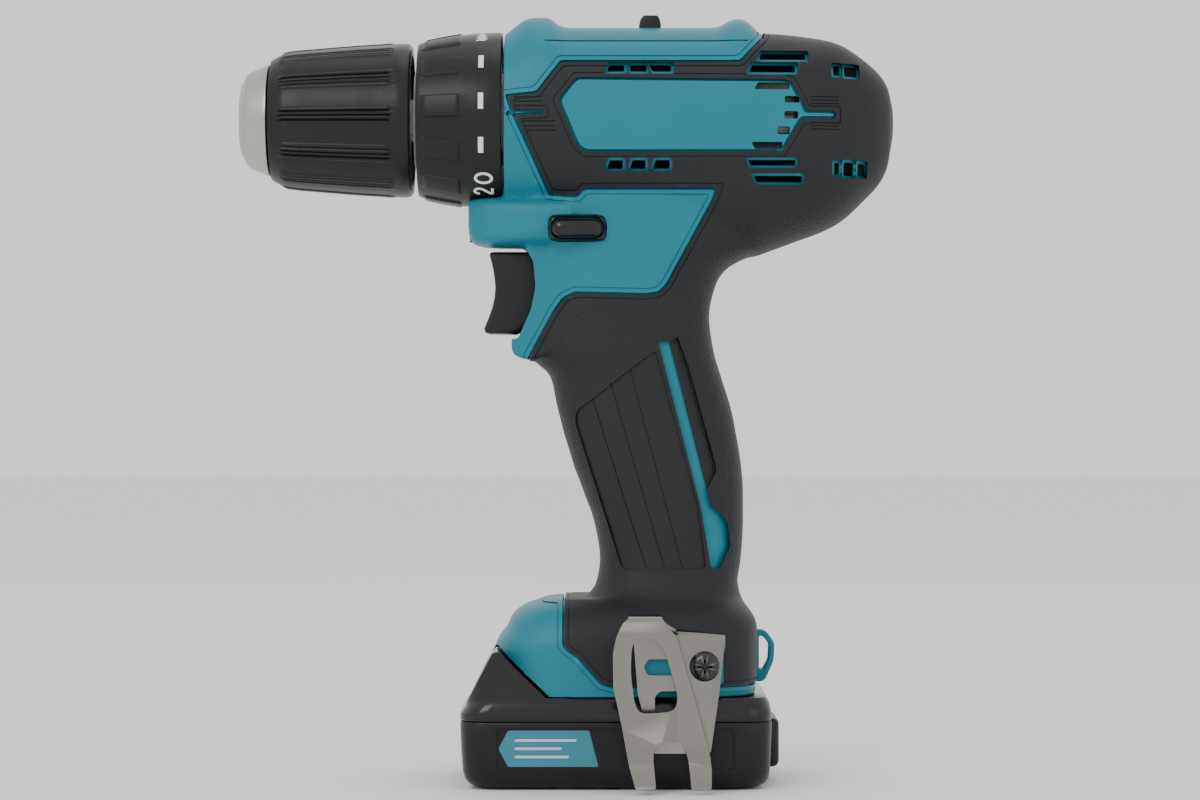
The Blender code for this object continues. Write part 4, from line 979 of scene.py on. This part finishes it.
# ---- trigger and switches
def make_controls():
    front = ((-35.0, 144.4), (-34.4, 142.6), (-33.7, 139.7), (-33.3, 137.0), (-33.1, 134.8), (-33.3, 132.0),
             (-33.9, 129.3), (-35.0, 126.2), (-36.1, 123.6), (-35.9, 122.5), (-35.0, 122.1))
    outline = front + ((-27.4, 122.0), (-23.6, 124.2), (-18.0, 126.0), (-18.0, 144.4))
    trigger = slab("trigger_skin", outline, -9.0, 9.0)
    bevelled(trigger, 1.9, 4, 60)
    stem = block("stem", -19.0, -9.2, -2.3, 2.3, 131.7, 136.3, 0.8)
    weld_on(trigger, stem)
    dress(trigger, TRIGGER_BLACK, "black_plastic", "trigger", "trigger")

    lever = block("lever_bar", -17.7, -3.5, -22.6, 22.6, 147.6, 153.2, 2.7, 6)
    weld_on(lever, block("lever_middle", -19.6, -1.6, -6.5, 6.5, 146.4, 154.4, 0.6))
    dress(lever, GLOSS_BLACK, "black_plastic", "direction_lever", "direction_lever")
    for side, label in ((-1, "left"), (1, "right")):
        rim = block("lever_rim_" + label, -18.5, -2.7, *to_side(side, 17.0, 20.6), 146.8, 154.0, 3.3, 6)
        hole = block("rim_hole", -17.9, -3.3, -40.0, 40.0, 147.4, 153.4, 2.8, 6)
        carve(rim, hole)
        dress(rim, GLOSS_BLACK, "black_plastic", "tool")

    knob = tower("selector_knob", [[(x, y, z) for x, y in
                                    ((x0, -w), (x1, -w), (x1, w), (x0, w))]
                                   for z, x0, x1, w in ((199.6, 3.0, 15.4, 8.0), (201.9, 3.0, 15.4, 8.0))])
    stem = block("stem", 6.8, 11.6, -4.0, 4.0, 201.0, 204.0)
    cap = slab("cap", ((6.2, 203.2), (12.2, 203.2), (12.2, 206.8), (11.9, 208.2), (11.3, 209.3), (7.4, 209.3),
                       (6.6, 208.2), (6.2, 206.8)), -5.4, 5.4)
    bevelled(cap, 0.5, 3)
    weld_on(knob, stem, cap)
    take_away(knob, *[block("notch", x, x + 0.35, -4.4, 4.4, 208.9, 210.0) for x in (7.9, 9.0, 10.1)])
    dress(knob, TRIGGER_BLACK, "black_plastic", "speed_selector", "speed_selector")

    lens = spun("lamp_glass",
                ((-40.2, 0.0), (-40.3, 1.2), (-40.1, 2.4), (-39.6, 3.1), (-39.0, 3.3), (-35.8, 3.3),
                               (-35.8, 0.0)), 48, at(0.0, LAMP_Z))
    dress(lens, LENS, "lamp_plastic", "tool", "lamp_lens")
    cup = spun("lamp_cup", ((-40.2, 3.45), (-40.2, 3.85), (-35.6, 3.85), (-35.6, 3.45)), 48, at(0.0, LAMP_Z))
    dress(cup, INSIDE, "black_plastic", "tool")


# ---- screws
def phillips_recess(centre, toward, reach, depth):
    """A cross cut that narrows as it goes in, on a head that faces toward along Y."""
    x, y, z = centre
    made = []
    for wide, tall in ((reach, 0.34), (0.34, reach)):
        near = [(x - wide, y + toward * 0.2, z - tall), (x + wide, y + toward * 0.2, z - tall),
                (x + wide, y + toward * 0.2, z + tall), (x - wide, y + toward * 0.2, z + tall)]
        w, t = wide * (0.45 if wide > tall else 0.7), tall * (0.45 if tall > wide else 0.7)
        far = [(x - w, y - toward * depth, z - t), (x + w, y - toward * depth, z - t),
               (x + w, y - toward * depth, z + t), (x - w, y - toward * depth, z + t)]
        made.append(tower("cross", [near, far]))
    return made


def make_screws():
    for index, (x, z) in enumerate(CASE_SCREWS):
        screw = spun("case_screw_%d" % (index + 1), (
            (-7.0, 0.0), (-6.4, 0.9), (-5.8, 1.4), (12.3, 1.5), (12.3, 2.9), (12.8, 3.0), (13.6, 2.8),
            (14.1, 2.2),
            (14.3, 1.2), (14.3, 0.0)), 32, at(x, z), "Y")
        take_away(screw, *phillips_recess((x, 14.3, z), 1, 1.6, 1.2))
        dress(screw, SCREW_BLACK, "screw_black", "tool", "housing_screw_%d" % (index + 1))
    x, z = CLIP_SCREW
    head = spun("clip_screw",
                ((-34.0, 0.0), (-34.0, 3.8), (-34.4, 4.0), (-34.9, 3.95), (-35.6, 3.5), (-36.1, 2.6),
                               (-36.35, 1.3), (-36.4, 0.0)), 64, at(x, z), "Y")
    take_away(head, *phillips_recess((x, -36.4, z), -1, 2.3, 1.5))
    bevelled(head, 0.08, 2, 40)
    dress(head, SCREW_BLACK, "screw_black", "tool", "belt_clip_screw")


# ---- belt clip
SHEET = 1.1
CLIP_PATH = ((-32.6, 10.0), (-32.6, 41.6), (-32.9, 43.0), (-34.0, 44.0), (-35.0, 46.2), (-36.0, 47.0),
             (-37.2, 47.2),
             (-38.4, 46.8), (-39.4, 45.6), (-40.0, 43.4), (-40.2, 41.4), (-40.2, 10.0), (-40.6, 8.4),
             (-41.6, 6.6),
             (-42.6, 2.4), (-42.9, 1.4))


def clip_length():
    lengths = [0.0]
    for (y0, z0), (y1, z1) in zip(CLIP_PATH, CLIP_PATH[1:]):
        lengths.append(lengths[-1] + math.hypot(y1 - y0, z1 - z0))
    return lengths


def make_clip():
    """A flat blank is cut, its edges broken, and then it is folded along the path."""
    lengths = clip_length()
    fold = lengths[6]

    def down_back(z):
        return z - CLIP_PATH[0][1]

    def down_front(z):
        return lengths[10] + (CLIP_PATH[10][1] - z)

    end = lengths[-1]
    blank = ((9.5, down_back(10.0)), (24.9, down_back(10.0)), (27.2, down_back(26.0)),
             (28.8, down_back(40.4)),
             (28.8, down_back(41.6)), (15.4, down_back(43.2)), (12.2, fold - 3.2), (11.4, fold),
             (12.0, fold + 2.2),
             (13.4, down_front(44.2)),
             (15.8, down_front(41.4)), (16.6, down_front(38.2)), (19.6, down_front(28.0)),
             (22.4, down_front(18.0)),
             (24.6, down_front(10.0)), (25.0, down_front(6.0)), (24.9, end), (19.6, end),
             (18.9, down_front(8.5)),
             (17.9, down_front(12.2)), (16.4, down_front(13.6)), (11.2, down_front(13.6)),
             (9.7, down_front(12.2)),
             (9.6, down_front(8.5)), (10.3, end),
             (4.9, end), (3.2, down_front(7.0)), (1.2, down_front(18.0)), (-1.0, down_front(28.0)),
             (-1.1, down_front(37.0)), (-0.2, down_front(41.4)), (1.6, down_front(45.2)), (3.0, fold + 2.2),
             (3.2, fold), (3.3, fold - 3.4), (3.6, down_back(43.4)), (4.3, down_back(41.6)),
             (5.5, down_back(26.0)))
    sheet = slab("belt_clip_sheet", eased(blank, 0.9, 3), 0.0, SHEET)
    holes = [
        (((7.1, down_back(33.0)), (8.2, down_back(30.8)), (17.6, down_back(30.8)), (17.6, down_back(35.1)),
          (8.2, down_back(35.1))), 0.8),
        (((10.1, down_back(20.4)), (18.9, down_back(20.4)), (18.9, down_back(25.2)), (17.6, down_back(26.6)),
          (11.6, down_back(26.6)), (10.1, down_back(25.2))), 0.6),
        (((6.0, down_front(41.4)), (9.8, down_front(41.2)), (12.6, down_front(38.0)),
          (16.1, down_front(26.0)),
          (15.4, down_front(21.8)), (6.2, down_front(21.0)), (4.6, down_front(23.6)), (3.6, down_front(32.0)),
          (3.9, down_front(39.4))), 2.4),
    ]
    for outline, ease in holes:
        carve(sheet, slab("hole", eased(outline, ease, 4), -2.0, 3.0))
    hole_x, hole_z = CLIP_SCREW
    carve(sheet, rod("screw_hole", -2.0, 3.0, 2.2, 32, at(hole_x, down_back(hole_z)), "Y"))
    edit(sheet)
    cuts = lengths[1:-1] + [(a + b) / 2 for a, b in zip(lengths[1:10], lengths[2:11])]
    for length in sorted(cuts):
        bpy.ops.mesh.select_all(action="SELECT")
        bpy.ops.mesh.bisect(plane_co=(0, 0, length * MM), plane_no=(0, 0, 1))
    work = bmesh.from_edit_mesh(sheet.data)
    for v in work.verts:
        length = v.co.z / MM
        outer = v.co.y / MM
        index = max([i for i in range(len(lengths) - 1) if lengths[i] <= length + 1e-6] + [0])
        u = (length - lengths[index]) / (lengths[index + 1] - lengths[index])
        (y0, z0), (y1, z1) = CLIP_PATH[index], CLIP_PATH[index + 1]
        y, z = y0 + (y1 - y0) * u, z0 + (z1 - z0) * u
        ny, nz = clip_normal(index, u)
        v.co.y = (y + ny * outer) * MM
        v.co.z = (z + nz * outer) * MM
    bmesh.update_edit_mesh(sheet.data)
    done()
    face_outward(sheet)
    bevelled(sheet, 0.18, 2, 50)
    dress(sheet, NICKEL, "nickel_steel", "tool", "belt_clip", angle=30)
    applied(sheet, "WEIGHTED_NORMAL", weight=100, keep_sharp=True)


def clip_normal(index, u):
    """Outer side of the sheet at a place on the path, averaged over each fold line."""
    def normal_of(i):
        i = min(max(i, 0), len(CLIP_PATH) - 2)
        (y0, z0), (y1, z1) = CLIP_PATH[i], CLIP_PATH[i + 1]
        run = math.hypot(y1 - y0, z1 - z0)
        return Vector((-(z1 - z0) / run, (y1 - y0) / run))

    here, other = normal_of(index), normal_of(index + (1 if u > 0.5 else -1))
    blend = abs(u - 0.5)
    mixed = here * (1 - blend) + other * blend
    mixed.normalize()
    if index in (0, 10) or index == len(CLIP_PATH) - 2:
        return here
    return mixed


# ---- battery
def rounded_plan(x0, x1, half, radius, steps=6):
    points = []
    for cx, cy, start in ((x1 - radius, half - radius, 0), (x0 + radius, half - radius, 90),
                          (x0 + radius, -half + radius, 180), (x1 - radius, -half + radius, 270)):
        for k in range(steps + 1):
            a = math.radians(start + 90 * k / steps)
            points.append((cx + radius * math.cos(a), cy + radius * math.sin(a)))
    return points


def case_block(name, stations):
    """A pack moulding drawn up from rounded plans: (z, front x, rear x, half width, corner)."""
    return tower(name, [[(x, y, z) for x, y in rounded_plan(x0, x1, half, corner)]
                        for z, x0, x1, half, corner in stations])


def cell_room():
    return block("cell_room", -36.0, 36.5, -28.2, 28.2, 2.4, 30.0, 8.4, 6)


def make_battery():
    lower = case_block("pack_lower", (
        (0.0, -36.6, 36.6, 26.4, 6.0), (0.35, -38.2, 38.2, 28.0, 6.4), (1.2, -39.8, 39.8, 29.4, 6.8),
        (2.4, -40.7, 40.6, 30.3, 7.0), (4.4, -41.3, 41.1, 30.9, 7.2), (9.0, -41.7, 41.3, 31.1, 7.2),
        (14.0, -41.9, 41.5, 31.3, 7.2), (17.6, -42.0, 41.6, 31.4, 7.2), (17.95, -41.8, 41.4, 31.2, 7.0)))
    bump = block("bump", 38.0, 44.2, -12.0, 12.0, 4.2, 17.6, 1.8, 4)
    weld_on(lower, bump)
    carve(lower, cell_room())
    for side in (-1, 1):
        panel = slab("panel", eased(((-32.2, 5.4), (31.4, 5.4), (31.4, 16.6), (-32.2, 16.6)), 1.6, 5),
                     *to_side(side, 30.55, 36.0))
        carve(lower, panel)
    for z in (7.2, 9.2, 11.2, 13.2, 15.2):
        carve(lower, block("rib", 43.8, 45.0, -9.5, 9.5, z - 0.35, z + 0.35))
    dress(lower, CASE_BLACK, "black_plastic", "battery", "battery_case_lower")

    upper = case_block("pack_upper", (
        (18.25, -41.8, 41.4, 31.2, 7.0), (18.6, -42.1, 41.6, 31.4, 7.2), (20.2, -42.0, 41.6, 31.5, 7.2),
        (22.0, -40.6, 41.2, 31.0, 7.2), (23.4, -39.7, 40.8, 30.4, 7.0), (24.4, -39.0, 40.2, 29.6, 6.6)))
    rise = slab("rise",
                eased(((-40.6, 22.0), (-40.3, 23.0), (-33.4, 36.2), (-32.4, 36.8), (-31.6, 36.6),
                       (-19.1, 24.7),
                               (-19.1, 22.0)), 0.7, 4), -31.0, 31.0)
    plan = case_block("plan", ((20.0, -40.8, 60.0, 30.6, 8.5), (38.0, -40.8, 60.0, 29.4, 9.5)))
    carve(rise, plan, "INTERSECT")
    bevelled(rise, 1.0, 4, 30)
    weld_on(upper, rise)
    rail_neck = block("rail_neck", -24.0, 19.0, -12.5, 12.5, 24.0, 27.4)
    rail_head = block("rail_head", -24.0, 19.0, -15.9, 15.9, 27.2, 30.4)
    weld_on(upper, rail_neck, rail_head)
    carve(upper, block("upper_room", -36.0, 36.5, -28.2, 28.2, 10.0, 21.2, 3.0, 4))
    return upper


def make_label(side):
    """A printed label on the pack's side: a pointed band with a plain inner line."""
    y0, y1 = to_side(side, 30.5, 30.75)
    outer = ((-31.6, 11.0), (-29.0, 15.9), (-7.4, 15.9), (-4.9, 6.2), (-29.0, 6.2))
    band = slab("label_band", eased(outer, 0.5, 3), y0, y1)
    dress(band, LABEL_TEAL, "black_plastic", "battery")
    band.name = "label_band_" + ("left" if side < 0 else "right")
    y0, y1 = to_side(side, 30.7, 30.86)
    made = []
    for x0, x1, z0, z1 in ((-27.4, -11.0, 12.9, 13.6), (-27.4, -15.0, 10.7, 11.4), (-27.4, -13.0, 8.5, 9.2)):
        made.append(slab("line", ((x0, z0), (x1, z0), (x1 + 0.3, z1), (x0 + 0.3, z1)), y0, y1))
    lines = joined("label_lines_" + ("left" if side < 0 else "right"), made)
    dress(lines, LABEL_GREY, "black_plastic", "battery")


def make_latch_and_pack():
    upper = make_battery()
    carve(upper, block("latch_room", -60.0, -26.2, -8.4, 8.4, 25.4, 45.0))
    for side in (-1, 1):
        carve(upper, block("line", -6.0, 30.0, *to_side(side, 31.1, 34.0), 20.6, 20.9))
    dress(upper, GLOSS_BLACK, "black_plastic", "battery", "battery_case_upper")
    latch = slab("release_latch",
                 eased(((-37.5, 28.4), (-35.0, 33.4), (-29.6, 33.4), (-29.3, 35.0), (-27.0, 33.4),
                                         (-26.6, 31.4), (-26.6, 28.4)), 0.5, 3), -8.0, 8.0)
    bevelled(latch, 0.5, 3)
    for side in (-1, 1):
        carve(latch, block("shoulder", -29.9, -24.0, *to_side(side, 5.0, 9.0), 33.35, 36.0))
    carve(latch, rod("spring_room", 20.0, 31.6, 2.8, 32, at(-31.0, 0.0), "Z"))
    for k in range(4):
        x = -36.9 + 0.55 * k
        carve(latch, block("grip", x - 0.15, x + 0.15, -6.0, 6.0, 29.2 + 1.05 * k, 30.0 + 1.05 * k))
    dress(latch, CASE_BLACK, "grey_plastic", "battery_latch", "battery_latch")
    for side in (-1, 1):
        make_label(side)


make_chuck()
make_torque_ring()
make_controls()
make_screws()
make_clip()
make_latch_and_pack()

# thin dark webs inside the tail that close the view through its rear slots; their dark finish is painted
# shade for the hollow seen through the slots
for label, z0, z1 in (("low", 162.6, 169.8), ("high", 189.2, 195.6)):
    web = block("tail_shade_web_" + label, 56.6, 67.6, -11.6, -10.8, z0, z1, 0.2)
    dress(web, INSIDE, "black_plastic", "tool")

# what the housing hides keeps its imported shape, with a finish of its own
PLANETS = tuple("planet_%s_%d" % (stage, k) for stage in ("output", "input") for k in (1, 2, 3))
HIDDEN = (
    (SATIN,
     ("spindle", "spindle_bearing", "trigger_spring", "latch_spring", "clutch_spring", "armature_shaft")),
    (STEEL,
     ("gear_case", "ring_gear_output", "ring_gear_input", "clutch_plate", "motor_can", "motor_magnet_1",
             "motor_magnet_2", "chuck_screw", "chuck_nut", "carrier_output", "carrier_input",
             "motor_pinion") + PLANETS),
    (INSIDE, ("cooling_fan", "switch_body", "terminal_block", "motor_end_cap", "clutch_nut")),
    (CELL_FILM, ("battery_cell_1", "battery_cell_2", "battery_cell_3")),
)
for mat, names in HIDDEN:
    for name in names:
        node = bpy.data.objects[name]
        node.data.materials.clear()
        node.data.materials.append(mat)


# ---- camera, floor and light
def placed(name, data, place):
    obj = bpy.data.objects.new(name, data)
    bpy.context.scene.collection.objects.link(obj)
    obj.location = place
    return obj


def stage():
    nothing_selected()
    bpy.ops.mesh.primitive_plane_add(size=8.0, location=(0, 0, -0.0002))
    floor = named("floor")
    mat = bpy.data.materials.new("pale_floor")
    mat.use_nodes = True
    nodes = mat.node_tree.nodes
    nodes["Principled BSDF"].inputs["Base Color"].default_value = (0.85, 0.85, 0.85, 1)
    nodes["Principled BSDF"].inputs["Roughness"].default_value = 0.8
    floor.data.materials.append(mat)
    world = bpy.data.worlds.new("studio")
    world.use_nodes = True
    nodes = world.node_tree.nodes
    nodes["Background"].inputs["Color"].default_value = (1, 1, 1, 1)
    nodes["Background"].inputs["Strength"].default_value = 1.1
    bpy.context.scene.world = world
    for name, place, size, power in (
        ("key", (-0.45, -0.75, 0.7), 0.45, 3.0),
        ("fill", (0.75, -0.8, 0.3), 0.6, 0.6),
        ("top", (0.05, 0.1, 1.0), 0.4, 0.6),
        ("back", (0.2, 0.8, 0.6), 0.8, 1.0),
    ):
        lamp = bpy.data.lights.new(name, "AREA")
        lamp.size = size
        lamp.energy = power
        obj = placed(name, lamp, place)
        obj.rotation_euler = (Vector((0, 0, 0.11)) - Vector(place)).to_track_quat("-Z", "Y").to_euler()
    camera = bpy.data.cameras.new("camera")
    camera.sensor_width = 36.0
    camera.lens = 109.09
    camera.clip_start = 0.05
    obj = placed("camera", camera, (-0.0045, -1.0, 0.104))
    obj.rotation_euler = (math.radians(90), 0, 0)
    bpy.context.scene.camera = obj


stage()
